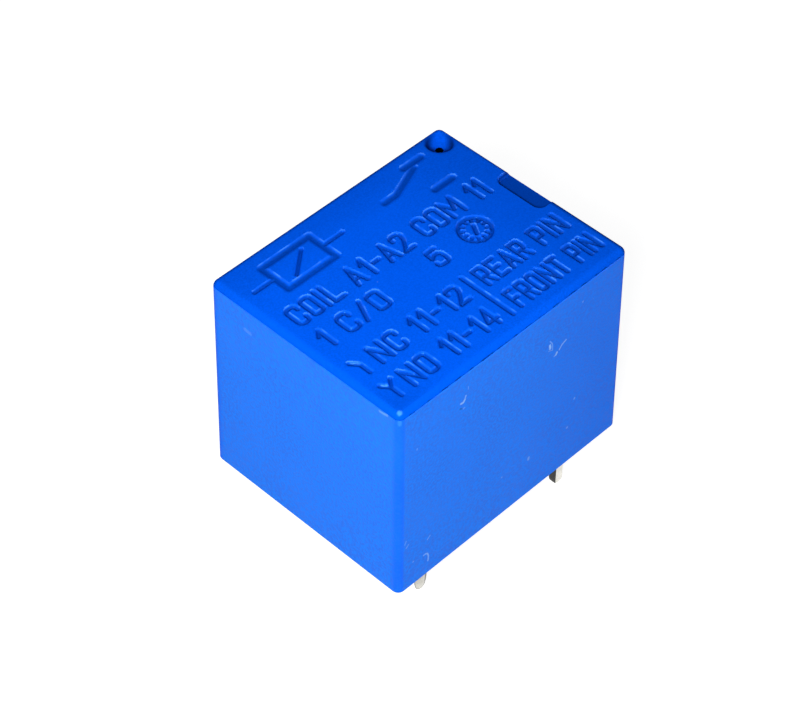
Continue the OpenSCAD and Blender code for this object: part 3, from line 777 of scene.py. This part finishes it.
class RELAY_OT_case(bpy.types.Operator):
    """Models the moulded case with its parting line, vent and notch"""

    bl_idname = "relay.case"
    bl_label = "Case"

    # The dish from its floor to its mouth: shares of its radius and of its depth
    BOWL = (
        (0.27, 1.0), (0.36, 0.96), (0.46, 0.88), (0.58, 0.75),
        (0.7, 0.58), (0.81, 0.4), (0.9, 0.22), (0.97, 0.08),
    )
    # The notch's flare: shares of a quarter turn, and rises in lips
    FLARE = ((0.3, 0.25), (0.6, 0.25), (0.85, 0.25), (1.0, 0.25), (1.0, 1.0))

    def leaning_block(self, name, sizes, inset, radius, low, high, domed):
        """A block that follows the walls' draft, with round upright edges and, if domed, round top edges."""
        foot, head = (Vector(half_spans(sizes, z)) - Vector((inset, inset)) for z in (low, high))
        obj = block(name, (-foot.x, -foot.y, low), (foot.x, foot.y, high))
        choose(obj, "polygons", lambda f: f.normal.z > 0.5)
        bpy.ops.transform.resize(value=(head.x / foot.x, head.y / foot.y, 1), center_override=(0, 0, high))
        leave()
        upright = upright_edges(obj)
        choose(obj, "edges", lambda e: upright(e) or (domed and ends(obj, e)[0].z > (low + high) / 2))
        bpy.ops.mesh.bevel(offset=radius, segments=6, affect="EDGES", clamp_overlap=False)
        leave()
        return obj

    def parting_line(self, obj, sizes):
        """Scores a shallow groove round the case where the mould's halves met."""
        line = sizes.height - sizes.parting_drop
        slice_level(obj, [line + step * sizes.groove_width for step in (-0.5, 0, 0.5)])
        choose(obj, "vertices", lambda v: abs(v.co.z - line) < 5 * MERGE)
        shrink = [1 - 2 * sizes.groove / size for size in (sizes.rim_length, sizes.rim_width)]
        bpy.ops.transform.resize(value=(*shrink, 1), center_override=(0, 0, line))
        leave()

    def notch_tool(self, sizes, end):
        """The notch as a solid, with its floor's edge round and its mouth flared."""
        floor = sizes.height - sizes.notch_depth
        mouth = sizes.height - sizes.lip
        reach, half = sizes.notch_reach, sizes.notch_width / 2
        tool = block("notch_tool", (end - reach, -half, floor), (end + reach, half, mouth))
        choose(tool, "edges", upright_edges(tool))
        bpy.ops.mesh.bevel(offset=sizes.notch_radius, segments=8, affect="EDGES")
        leave()
        choose(tool, "edges", lambda e: all(p.z < floor + MERGE for p in ends(tool, e)))
        bpy.ops.mesh.bevel(offset=sizes.lip, segments=4, affect="EDGES")
        leave()
        choose(tool, "polygons", lambda f: f.normal.z > 0.5)
        grown = 0.0
        for share, rise in self.FLARE:
            wider = sizes.lip * (1 - math.cos(math.radians(90 * share)))
            factors = [(half_span + wider) / (half_span + grown) for half_span in (reach, half)]
            extrude(sizes.lip * rise, factors, (end, 0, 0))
            grown = wider
        leave()
        return tool

    def execute(self, context):
        sizes = context.scene.relay_case
        top = sizes.height
        below = -1 * MM
        spot = vent_spot(sizes)
        shell = self.leaning_block("case_shell", sizes, 0, sizes.edge_radius, 0, top, True)
        self.parting_line(shell, sizes)

        # The hollow inside, with a boss left round the dish and a seat for the base
        rounding = sizes.hollow_radius
        hollow = self.leaning_block("hollow", sizes, sizes.wall, rounding, below, top - sizes.roof, True)
        boss_wall = 0.5 * MM
        boss_z = top - sizes.dish_depth - boss_wall
        boss_r = sizes.dish / 2 + boss_wall
        cut(hollow, turned("boss", *spot, [(boss_r, boss_z), (boss_r, top)]))
        cut(shell, hollow)
        inset = sizes.wall - sizes.rebate
        cut(shell, self.leaning_block("seat", sizes, inset, rounding, below, sizes.seat_height, False))

        mouth_r, lip = sizes.dish / 2, sizes.lip
        dish = [(mouth_r * out, top - sizes.dish_depth * down) for out, down in self.BOWL]
        dish += [
            (mouth_r + 0.4 * lip, top - 0.015 * MM),
            (mouth_r + lip, top + 0.002 * MM),
            (mouth_r + lip, top + 0.2 * MM),
        ]
        cut(shell, turned("dish", *spot, dish, 64))

        # The vent, twice as wide below the dish's thin floor
        dish_floor = 0.12 * MM
        floor_z = top - sizes.dish_depth
        bore_z = floor_z - dish_floor
        narrow, wide = sizes.vent / 2, sizes.vent
        vent = [(wide, boss_z - 0.2 * MM), (wide, bore_z), (narrow, bore_z), (narrow, floor_z + 0.05 * MM)]
        cut(shell, turned("vent", *spot, vent, 32))
        cut(shell, self.notch_tool(sizes, half_spans(sizes, top)[0]))
        return {"FINISHED"}


class RELAY_OT_marks(bpy.types.Operator):
    """Sinks the terminal key, the symbols and the mould marks into the roof"""

    bl_idname = "relay.marks"
    bl_label = "Sunk marks"

    # Strokes of each character in a box one wide and one high; a round stroke or ring has its corners cut
    GLYPHS = {
        "A": [("line", (0, 0), (0.5, 1), (1, 0)), ("line", (0.2, 0.32), (0.8, 0.32))],
        "C": [("round", (1, 0.74), (1, 1), (0, 1), (0, 0.5), (0, 0), (1, 0), (1, 0.26))],
        "E": [("line", (0, 0), (0, 1), (1, 1)), ("line", (0, 0.52), (0.8, 0.52)), ("line", (0, 0), (1, 0))],
        "F": [("line", (0, 0), (0, 1), (1, 1)), ("line", (0, 0.5), (0.8, 0.5))],
        "I": [("line", (0, 0), (0, 1))],
        "L": [("line", (0, 1), (0, 0), (1, 0))],
        "M": [("line", (0, 0), (0, 1), (0.5, 0.35), (1, 1), (1, 0))],
        "N": [("line", (0, 0), (0, 1), (1, 0), (1, 1))],
        "O": [("ring", (0, 0.3), (0, 0), (1, 0), (1, 0.3), (1, 0.7), (1, 1), (0, 1), (0, 0.7))],
        "P": [
            ("line", (0, 0), (0, 1)),
            ("round", (0, 1), (0.6, 1), (1, 1), (1, 0.46), (0.6, 0.46), (0, 0.46)),
        ],
        "R": [
            ("line", (0, 0), (0, 1)),
            ("round", (0, 1), (0.6, 1), (1, 1), (1, 0.48), (0.6, 0.48), (0, 0.48)),
            ("line", (0.5, 0.48), (1, 0)),
        ],
        "T": [("line", (0.5, 0), (0.5, 1)), ("line", (0, 1), (1, 1))],
        "1": [("line", (0, 0.72), (1, 1), (1, 0))],
        "2": [("round", (0, 0.76), (0, 1), (1, 1), (1, 0.62), (0, 0)), ("line", (0, 0), (1, 0))],
        "4": [("line", (0.72, 0), (0.72, 1), (0, 0.28), (1, 0.28))],
        "5": [
            ("line", (0.95, 1), (0.12, 1), (0.06, 0.55)),
            ("round", (0.06, 0.55), (0.5, 0.72), (1, 0.66), (1, 0), (0.4, 0), (0, 0.05), (0, 0.22)),
        ],
        "-": [("line", (0, 0.48), (1, 0.48))],
        "/": [("line", (0, 0), (1, 1))],
    }
    # Widths of the characters that aren't one wide, and the gap between characters
    WIDTHS = {"I": 0.02, "1": 0.42, "-": 0.6, " ": 0.35, "M": 1.35, "N": 1.1, "/": 0.8}
    GAP = 0.62

    # Words, with the box that each fills on the roof: left, right, low, high, in millimetres
    WORDS = [
        ("COIL A1-A2 COM 11", -8.2, 7.3, 1.3, 2.75),
        ("1 C/O", -8.2, -3.4, -1.05, 0.35),
        ("NC 11-12", -7.0, 0.0, -3.95, -2.55),
        ("NO 11-14", -7.0, 0.0, -6.4, -5.0),
        ("REAR PIN", 1.6, 8.3, -3.95, -2.55),
        ("FRONT PIN", 1.6, 8.5, -6.4, -5.0),
        ("5", 0.7, 1.5, -0.95, 0.35),
    ]
    # The mould's date dial: middle, radius, how far its hours reach in, and half its hand
    DIAL = (4.3, -0.25, 1.0, 0.28, 0.35)
    # Thin rules: the divider, the two contact signs, the coil sign's leads and its slash
    RULES = [
        [(0.8, -6.5), (0.8, -2.45)],
        [(-8.46, -2.7), (-8.06, -3.2), (-8.06, -3.95)],
        [(-8.46, -5.1), (-8.06, -5.6), (-7.66, -5.1)],
        [(-8.06, -5.6), (-8.06, -6.4)],
        [(-8.3, 5.05), (-6.9, 5.05)],
        [(-2.7, 5.05), (-1.3, 5.05)],
        [(-5.6, 4.4), (-4.0, 5.7)],
    ]
    # Wide strokes: the coil sign and the changeover sign
    BARS = [
        [(-6.7, 6.2), (-2.9, 6.2)],
        [(-6.7, 3.9), (-2.9, 3.9)],
        [(-6.7, 3.9), (-6.7, 6.2)],
        [(-2.9, 3.9), (-2.9, 6.2)],
        [(2.2, 5.05), (3.2, 5.05), (5.6, 6.0)],
        [(5.1, 6.35), (6.6, 6.35)],
        [(5.1, 3.75), (6.6, 3.75)],
    ]
    # Widths of the strokes' sloping sides in millimetres, and the wide strokes' share of the depth
    RULE_SLOPE = 0.2
    BAR_SLOPE = 0.3
    BAR_SHARE = 0.65

    def rounded(self, points, closed):
        """Points of a path with its corners cut three times."""
        for _ in range(3):
            pairs = list(zip(points, points[1:] + points[:1] if closed else points[1:]))
            smoother = []
            for a, b in pairs:
                smoother += [a.lerp(b, 0.25), a.lerp(b, 0.75)]
            points = smoother if closed else [points[0], *smoother[1:-1], points[-1]]
        return points

    def letters(self, body, left, right, low, high):
        """The paths of a word, spread over its box."""
        widths = [self.WIDTHS.get(letter, 1.0) for letter in body]
        unit = (right - left) / (sum(widths) + self.GAP * (len(body) - 1))
        paths = []
        x = left
        for letter, width in zip(body, widths):
            for kind, *points in self.GLYPHS.get(letter, ()):
                path = [Vector((x + px * width * unit, low + py * (high - low))) for px, py in points]
                if kind != "line":
                    path = self.rounded(path, kind == "ring")
                if kind == "ring":
                    path.append(path[0])
                paths.append(path)
            x += (width + self.GAP) * unit
        return paths

    def dial(self):
        """The paths of the date dial: its ring, its hours and its hand."""
        x, y, radius, hour, hand = self.DIAL
        middle = Vector((x, y))
        angles = [math.radians(7.5 * step) for step in range(49)]
        turns = [Vector((math.cos(angle), math.sin(angle))) for angle in angles]
        ring = [middle + radius * turn for turn in turns]
        hours = [[middle + (radius - reach) * turn for reach in (0, hour)] for turn in turns[:-1:4]]
        return [ring, *hours, [middle - hand * turns[8], middle + hand * turns[8]]]

    def sink(self, places, depths, path, width, slope, depth):
        """Lowers the places along a path, in millimetres: a flat bottom with sloping sides."""
        flat = width / 2 / MM - slope / 2
        reach = flat + slope
        for start, end in zip(path, path[1:]):
            low = np.minimum(start, end) - reach
            high = np.maximum(start, end) + reach
            near = np.nonzero(np.all((places > low) & (places < high), axis=1))[0]
            run = np.array(Vector(end) - Vector(start))
            here = places[near] - np.array(Vector(start))
            share = np.clip(here @ run / max(run @ run, 1e-9), 0, 1)
            gap = np.hypot(*(here - share[:, None] * run).T)
            part = np.clip((gap - flat) / slope, 0, 1)
            depths[near] = np.maximum(depths[near], depth * (1 - part * part * (3 - 2 * part)))

    def roof_patch(self, sizes, case):
        """A fine mesh for the roof, kept clear of its edges, the notch and the dish."""
        border, clear = 0.2 * MM, 0.15 * MM
        end_x, side_y = half_spans(case, case.height)
        wide, deep = (2 * (half - case.edge_radius - border) for half in (end_x, side_y))
        clear_selection()
        bpy.ops.mesh.primitive_grid_add(
            x_subdivisions=round(wide / sizes.mesh), y_subdivisions=round(deep / sizes.mesh),
            size=1, location=(0, 0, case.height),
        )
        bpy.ops.transform.resize(value=(wide, deep, 1))
        patch = settle("roof_patch")
        vent = Vector(vent_spot(case))
        dish = case.dish / 2 + case.lip + clear
        notch_x = end_x - case.notch_reach - case.lip - clear
        notch_y = case.notch_width / 2 + case.lip + clear
        choose(patch, "polygons", lambda f: (f.center.xy - vent).length < dish
               or (f.center.x > notch_x and abs(f.center.y) < notch_y))
        bpy.ops.mesh.delete(type="FACE")
        leave()
        return patch

    def execute(self, context):
        sizes = context.scene.relay_marks
        case = context.scene.relay_case
        shell = bpy.data.objects["case_shell"]
        patch = self.roof_patch(sizes, case)
        spots = np.empty(3 * len(patch.data.vertices))
        patch.data.vertices.foreach_get("co", spots)
        spots = spots.reshape(-1, 3)
        places = spots[:, :2] / MM
        depths = np.zeros(len(places))
        thin = [path for row in self.WORDS for path in self.letters(*row)] + self.RULES + self.dial()
        for path in thin:
            self.sink(places, depths, path, sizes.stroke, self.RULE_SLOPE, sizes.depth)
        for path in self.BARS:
            self.sink(places, depths, path, sizes.bar, self.BAR_SLOPE, sizes.depth * self.BAR_SHARE)
        spots[:, 2] -= depths
        patch.data.vertices.foreach_set("co", spots.ravel())
        patch.data.update()

        # The roof's plain face gives way to the fine mesh, and the border between them is filled
        choose(shell, "polygons", lambda f: f.normal.z > 0.999 and f.center.z > case.height - MERGE)
        bpy.ops.mesh.delete(type="FACE")
        leave()
        take(shell, patch)
        bpy.ops.object.join()
        bpy.ops.object.mode_set(mode="EDIT")
        context.tool_settings.mesh_select_mode = (False, True, False)
        bpy.ops.mesh.select_all(action="DESELECT")
        others = dict.fromkeys(("use_wire", "use_multi_face", "use_non_contiguous", "use_verts"), False)
        bpy.ops.mesh.select_non_manifold(extend=False, use_boundary=True, **others)
        bpy.ops.mesh.fill(use_beauty=True)
        face_out()
        return {"FINISHED"}


class RELAY_OT_case_finish(bpy.types.Operator):
    """Gives the case its matt walls, smooth edges and polished roof, with painted shade in the roof's hollows
    and painted highlights on its marks
    """

    bl_idname = "relay.case_finish"
    bl_label = "Case finish"

    WALL, ROOF, RIM, BORE, FLANK = range(5)
    # How far a face of the round edge may lie from its arc, and a depth that is a mark
    ARC_FIT = 0.05 * MM
    SUNK = 0.003 * MM

    def kind_of(self, face, sizes, vent):
        """Which finish a face of the case has."""
        spot, lie = face.center, face.normal
        if (spot.xy - vent).length < sizes.dish / 2:
            return self.BORE if spot.z < sizes.height - sizes.dish_depth - MERGE else self.ROOF
        if spot.z <= sizes.height - sizes.parting_drop or lie.z <= -0.3:
            return self.WALL
        radius = sizes.edge_radius
        spans = half_spans(sizes, spot.z)
        insets = [max(0, radius - spans[axis] + abs(spot[axis])) for axis in (0, 1)]
        out = Vector((*insets, radius - sizes.height + spot.z)).length
        if max(insets) > 0 and abs(out - radius) < self.ARC_FIT:
            return self.RIM
        sunk = spot.z < sizes.height - self.SUNK
        # Sunk faces turned towards the key lamp take the lit copy of the roof finish, with painted highlights
        lit = lie.z < 0.98 and lie.x + lie.y < -0.2
        return self.FLANK if sunk and lit else self.ROOF

    def execute(self, context):
        sizes = context.scene.relay_case
        finish = context.scene.relay_finishes
        shell = bpy.data.objects["case_shell"]
        smooth(shell, 60)
        finishes = {
            self.WALL: case_wall_finish(sizes, finish),
            self.ROOF: case_roof_finish(sizes, finish, "case_roof", gloss=0.0, glint_strength=0.0),
            self.RIM: case_rim_finish(sizes, finish),
            self.BORE: vent_finish(),
            # Lit copy of the roof finish, with painted highlights on its marks
            self.FLANK: case_roof_finish(sizes, finish, "mark_flanks", gloss=0.1, glint_strength=0.5),
        }
        for made in finishes.values():
            shell.data.materials.append(made)
        vent = Vector(vent_spot(sizes))
        for face in shell.data.polygons:
            face.material_index = self.kind_of(face, sizes, vent)
        hand_over(shell, None, "cover")
        return {"FINISHED"}


class RELAY_OT_base(bpy.types.Operator):
    """Dresses the base and pours the resin round its pad and pins"""

    bl_idname = "relay.base"
    bl_label = "Base and resin"

    # The resin's hollow face: steps in and up, in shares of the meniscus
    STEPS = ((0.9, 0.55), (1.2, 0.3), (1.5, 0.15))

    def execute(self, context):
        sizes = context.scene.relay_works
        finish = context.scene.relay_finishes
        base = merged_copy("base", "base_plate")
        smooth(base)
        hand_over(base, base_finish(finish), "base")
        resin = merged_copy("sealing_resin", "resin_pool")
        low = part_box("sealing_resin")[0][2]
        choose(resin, "polygons", lambda f: f.center.z < low + MERGE)
        for inward, upward in self.STEPS:
            low += sizes.meniscus * upward
            bpy.ops.mesh.inset(thickness=sizes.meniscus * inward, depth=-sizes.meniscus * upward)
            bpy.ops.transform.resize(value=(1, 1, 0), center_override=(0, 0, low))
        leave()
        smooth(resin, 60)
        hand_over(resin, resin_finish(finish), "sealing_resin")
        return {"FINISHED"}


class RELAY_OT_terminals(bpy.types.Operator):
    """Rounds the punched edges of the five terminals and tins them"""

    bl_idname = "relay.terminals"
    bl_label = "Terminals"

    # Heights of the rings that round off a tip, in shares of its taper
    RINGS = (1.0, 0.8, 0.6, 0.42, 0.27, 0.15, 0.06, 0.0)

    def dipped_pin(self, low, high, top, radius, taper, tip):
        """A pin below the board, oval or with round edges under its tin, and drawn in towards its tip."""
        x, y = (low.x + high.x) / 2, (low.y + high.y) / 2
        clear_selection()
        if radius:
            bpy.ops.mesh.primitive_plane_add(size=1, location=(x, y, top))
        else:
            bpy.ops.mesh.primitive_circle_add(vertices=32, radius=0.5, fill_type="NGON", location=(x, y, top))
        obj = settle("dipped")
        all_of(obj)
        bpy.ops.transform.resize(value=(high.x - low.x, high.y - low.y, 1), center_override=(x, y, top))
        if radius:
            bpy.ops.mesh.bevel(offset=radius, segments=5, affect="VERTICES")
        bpy.ops.mesh.select_all(action="SELECT")
        widths = [tip + (1 - tip) * math.sqrt(ring * (2 - ring)) for ring in self.RINGS]
        heights = [PIN_TIP + ring * taper for ring in self.RINGS]
        draw_out(x, y, [(1.0, top), *zip(widths, heights)])
        return obj

    def tinned(self, node, sizes, rounding, taper, tip):
        """A terminal with its edges broken and its pin dipped, and the corners of that pin."""
        obj = merged_copy(node, "tinned_" + node)
        foot = [v.co for v in obj.data.vertices if v.co.z < PIN_TIP + 2 * sizes.flat_taper]
        low, high = (Vector(side(p[axis] for p in foot) for axis in range(3)) for side in (min, max))
        all_of(obj)
        bpy.ops.mesh.bisect(
            plane_co=(0, 0, sizes.dip), plane_no=(0, 0, 1), use_fill=True, clear_inner=True, threshold=MERGE
        )
        leave()
        break_edges(obj, sizes.strip_edge)
        take(obj, self.dipped_pin(low, high, sizes.dip, rounding, taper, tip))
        bpy.ops.object.join()
        smooth(obj, 40)
        return obj, low, high

    def execute(self, context):
        sizes = context.scene.relay_works
        tin = context.scene.relay_finishes.tin
        along = (1.0, 1.0, 0.08)
        flat = (0, sizes.flat_taper, 0.3)
        wire = (sizes.wire_round, sizes.wire_taper, 0.7)
        # Kind, its pins' shape, tones of its faces and of its darker narrow sides, how far round a side
        # reaches, and nodes
        rows = (
            ("strip", flat, 0.9, 0.33, 0.15, ("com_terminal", "no_terminal", "nc_terminal")),
            ("wire", wire, 1.2, 0.08, 0.8, ("coil_pin_front", "coil_pin_rear")),
        )
        for kind, shape, bright, dark, limit, nodes in rows:
            lit_tin = metal_finish(f"tinned_{kind}", tone(tin, bright), along, 0.06 * MM, 0.22, 0.42)
            shaded_tin = metal_finish(f"{kind}_side", tone(tin, dark), along, 0.05 * MM, 0.35, 0.55)
            for node in nodes:
                obj, low, high = self.tinned(node, sizes, *shape)
                hand_over(obj, lit_tin, node)
                obj.data.materials.append(shaded_tin)
                # The narrow sides, one whole side of a coil pin and the ledge at the dip take the darker copy
                # of the tin: painted shade for the dark underside they face, and on the punched strips also
                # their duller cut edges
                edgeways = 1 if high.y - low.y > 1.2 * (high.x - low.x) else 0
                for face in obj.data.polygons:
                    lie, z = face.normal[edgeways], face.center.z
                    ledge = abs(z - sizes.dip) < sizes.strip_edge
                    narrow = z < sizes.dip and (lie < -0.85 or lie > limit)
                    if ledge or narrow:
                        face.material_index = 1
        return {"FINISHED"}


class RELAY_OT_coil(bpy.types.Operator):
    """Winds the coil on its bobbin and solders its leads"""

    bl_idname = "relay.coil"
    bl_label = "Coil"

    # One turn's outline: shares of the pitch, and how far it bulges out
    TURN = ((0.2, 0.8), (0.5, 1.0), (0.8, 0.8), (1.0, 0.25))

    def execute(self, context):
        sizes = context.scene.relay_works
        finish = context.scene.relay_finishes
        copper = copper_finish(finish)
        low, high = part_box("winding")
        x, y = (low[0] + high[0]) / 2, (low[1] + high[1]) / 2
        outer = (high[0] - low[0]) / 2
        turns = int((high[2] - low[2]) / sizes.wire)
        pitch = (high[2] - low[2]) / turns
        profile = [(outer - pitch / 2, low[2])]
        for turn in range(turns):
            for share, bulge in self.TURN:
                profile.append((outer - pitch / 2 * (1 - bulge), low[2] + (turn + share) * pitch))
        winding = turned("wound_coil", x, y, profile, 64)
        barrel = 2.52 * MM
        cut(winding, turned("barrel_tool", x, y, [(barrel, low[2] - MM), (barrel, high[2] + MM)]))
        smooth(winding, 60)
        hand_over(winding, copper, "winding")
        dress(copper, "coil_lead_front", "coil_lead_rear")
        dress(bobbin_finish(finish), "bobbin")
        solder = metal_finish("solder_joint", finish.tin, (1.0, 1.0, 1.0), 0.3 * MM, 0.2, 0.34)
        dress(solder, "solder_front", "solder_rear")
        return {"FINISHED"}


class RELAY_OT_magnet(bpy.types.Operator):
    """Plates the core, the yoke and the armature"""

    bl_idname = "relay.magnet"
    bl_label = "Magnet"

    def execute(self, context):
        finish = context.scene.relay_finishes
        steel = metal_finish("plated_steel", finish.steel, (1.0, 0.08, 1.0), 0.09 * MM, 0.3, 0.5)
        dress(steel, "core", "yoke", "armature")
        return {"FINISHED"}


class RELAY_OT_contacts(bpy.types.Operator):
    """Makes the spring that flexes over the armature's heel, and finishes the contacts"""

    bl_idname = "relay.contacts"
    bl_label = "Contacts"

    def execute(self, context):
        sizes = context.scene.relay_works
        finish = context.scene.relay_finishes
        bronze = metal_finish("spring_bronze", finish.bronze, (0.07, 1.0, 0.07), 0.07 * MM, 0.2, 0.36)
        silver = metal_finish("contact_silver", finish.silver, (1.0, 1.0, 1.0), 0.25 * MM, 0.16, 0.3)
        spring = merged_copy("contact_spring", "leaf_spring")
        flex_low, flex_high = 9.2 * MM, 11.4 * MM
        shares = [step / (sizes.spring_cuts - 1) for step in range(sizes.spring_cuts)]
        slice_level(spring, [flex_low + (flex_high - flex_low) * share for share in shares])
        smooth(spring)
        hand_over(spring, bronze, "contact_spring", body=None)
        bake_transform(spring)
        dress(silver, "moving_contact", "no_contact", "nc_contact")
        return {"FINISHED"}


class RELAY_OT_stage(bpy.types.Operator):
    """Sets up the pale floor, the soft light and the camera"""

    bl_idname = "relay.stage"
    bl_label = "Studio"

    # Each lamp's level in the panel, with its name, place and side in metres
    LAMPS = {
        "key": ("key_box", (-0.0788, -0.0532, 0.0947), 0.03),
        "end": ("end_box", (-0.30, -0.06, 0.13), 0.20),
        "side": ("side_box", (-0.05, -0.30, 0.13), 0.20),
    }
    # The camera: its place, its heading, elevation and roll in degrees, and its lens
    CAMERA = (-77.88 * MM, -73.80 * MM, 119.51 * MM)
    HEADING, ELEVATION, ROLL = -45.94, 46.37, 0.507
    LENS = 117.56
    # The shade under the base: its ends along x and y, and where its edge starts and ends
    SHADE = ((-4.8 * MM, 9.6 * MM), (-4.6 * MM, 7.7 * MM))
    FADE = (-0.6 * MM, 0.9 * MM)

    def seen_directly(self, tree):
        """1 for the rays that show the background itself."""
        rays = put(tree, "ShaderNodeLightPath")
        mirrored = maths("MAXIMUM", rays["Is Glossy Ray"], rays["Is Transmission Ray"])
        return maths("MAXIMUM", rays["Is Camera Ray"], mirrored)

    def open_floor(self, place):
        """1 on the open floor, falling to little in the shade under the base."""
        x_part, y_part = (
            maths("MINIMUM", across - low, high - across).spread(*self.FADE)
            for across, (low, high) in zip(place.parts(), self.SHADE)
        )
        return (x_part * y_part).spread(0.0, 1.0, 1.0, 0.12)

    def sky(self, scene, sizes):
        """An even light from all round that is seen as white."""
        world = bpy.data.worlds.new("studio")
        scene.world = world
        world.use_nodes = True
        background = world.node_tree.nodes["Background"]
        strength = self.seen_directly(world.node_tree).spread(0.0, 1.0, sizes.sky, 1.0)
        feed(background, Color=WHITE, Strength=strength)

    def floor(self, sizes):
        """White paper under the pins' tips, with a shade under the base."""
        clear_selection()
        bpy.ops.mesh.primitive_plane_add(size=sizes.floor, location=(0, 0, PIN_TIP - 0.02 * MM))
        floor = settle("floor")
        made, shader, place = new_material("floor_paper", Roughness=0.9, Specular_IOR_Level=0.0)
        white = self.seen_directly(made.node_tree) * self.open_floor(place) * 0.9
        feed(shader, Base_Color=(0.35, 0.35, 0.35, 1.0), Emission_Color=WHITE, Emission_Strength=white)
        floor.data.materials.append(made)

    def lamp(self, name, place, side, level):
        """A square lamp aimed at the case that gives a facing surface this level."""
        clear_selection()
        aim = Vector((0, 0, 6 * MM)) - Vector(place)
        turn = aim.to_track_quat("-Z", "Y").to_euler()
        bpy.ops.object.light_add(type="AREA", location=place, rotation=turn)
        lamp = bpy.context.object
        lamp.name = name
        lamp.data.shape = "SQUARE"
        lamp.data.size = side
        lamp.data.energy = level * math.pi**2 * aim.length_squared

    def camera(self, scene):
        """The camera that was fitted to the case's edges."""
        angles = (self.HEADING, 90 - self.ELEVATION, self.ROLL)
        heading, tilt, roll = (math.radians(angle) for angle in angles)
        turn = Euler((0, 0, heading)).to_matrix() @ Euler((tilt, 0, 0)).to_matrix()
        turn = turn @ Euler((0, 0, roll)).to_matrix()
        clear_selection()
        bpy.ops.object.camera_add(location=self.CAMERA, rotation=turn.to_euler())
        camera = bpy.context.object
        camera.name = "camera"
        camera.data.sensor_fit = "HORIZONTAL"
        camera.data.sensor_width = 36
        camera.data.lens = self.LENS
        camera.data.clip_start = 0.002
        camera.data.clip_end = 10
        scene.camera = camera

    def execute(self, context):
        scene = context.scene
        sizes = scene.relay_stage
        scene.view_settings.view_transform = "Standard"
        self.sky(scene, sizes)
        self.floor(sizes)
        for key, row in self.LAMPS.items():
            self.lamp(*row, getattr(sizes, key))
        self.camera(scene)
        return {"FINISHED"}


class RELAY_PT_panel(bpy.types.Panel):
    """Sizes, finishes and building steps of the relay"""

    bl_idname = "RELAY_PT_panel"
    bl_label = "Relay"
    bl_space_type = "VIEW_3D"
    bl_region_type = "UI"
    bl_category = "Relay"

    def draw(self, context):
        for step in STEPS:
            self.layout.operator(step.bl_idname)
        for name, group in SETTINGS.items():
            box = self.layout.box()
            box.label(text=group.__doc__)
            for key in group.__annotations__:
                box.prop(getattr(context.scene, name), key)


SETTINGS = {
    "relay_case": CaseSizes,
    "relay_marks": MarkSizes,
    "relay_works": WorksSizes,
    "relay_finishes": Finishes,
    "relay_stage": StageSizes,
}
STEPS = (
    RELAY_OT_case,
    RELAY_OT_marks,
    RELAY_OT_case_finish,
    RELAY_OT_base,
    RELAY_OT_terminals,
    RELAY_OT_coil,
    RELAY_OT_magnet,
    RELAY_OT_contacts,
    RELAY_OT_stage,
)
CLASSES = (*SETTINGS.values(), *STEPS, RELAY_PT_panel)


def register():
    for made in CLASSES:
        bpy.utils.register_class(made)
    for name, group in SETTINGS.items():
        setattr(bpy.types.Scene, name, PointerProperty(type=group))


def unregister():
    for name in SETTINGS:
        delattr(bpy.types.Scene, name)
    for made in reversed(CLASSES):
        bpy.utils.unregister_class(made)


def main():
    register()
    bpy.ops.relay.case()
    bpy.ops.relay.marks()
    bpy.ops.relay.case_finish()
    bpy.ops.relay.base()
    bpy.ops.relay.terminals()
    bpy.ops.relay.coil()
    bpy.ops.relay.magnet()
    bpy.ops.relay.contacts()
    bpy.ops.relay.stage()


if __name__ == "__main__":
    main()
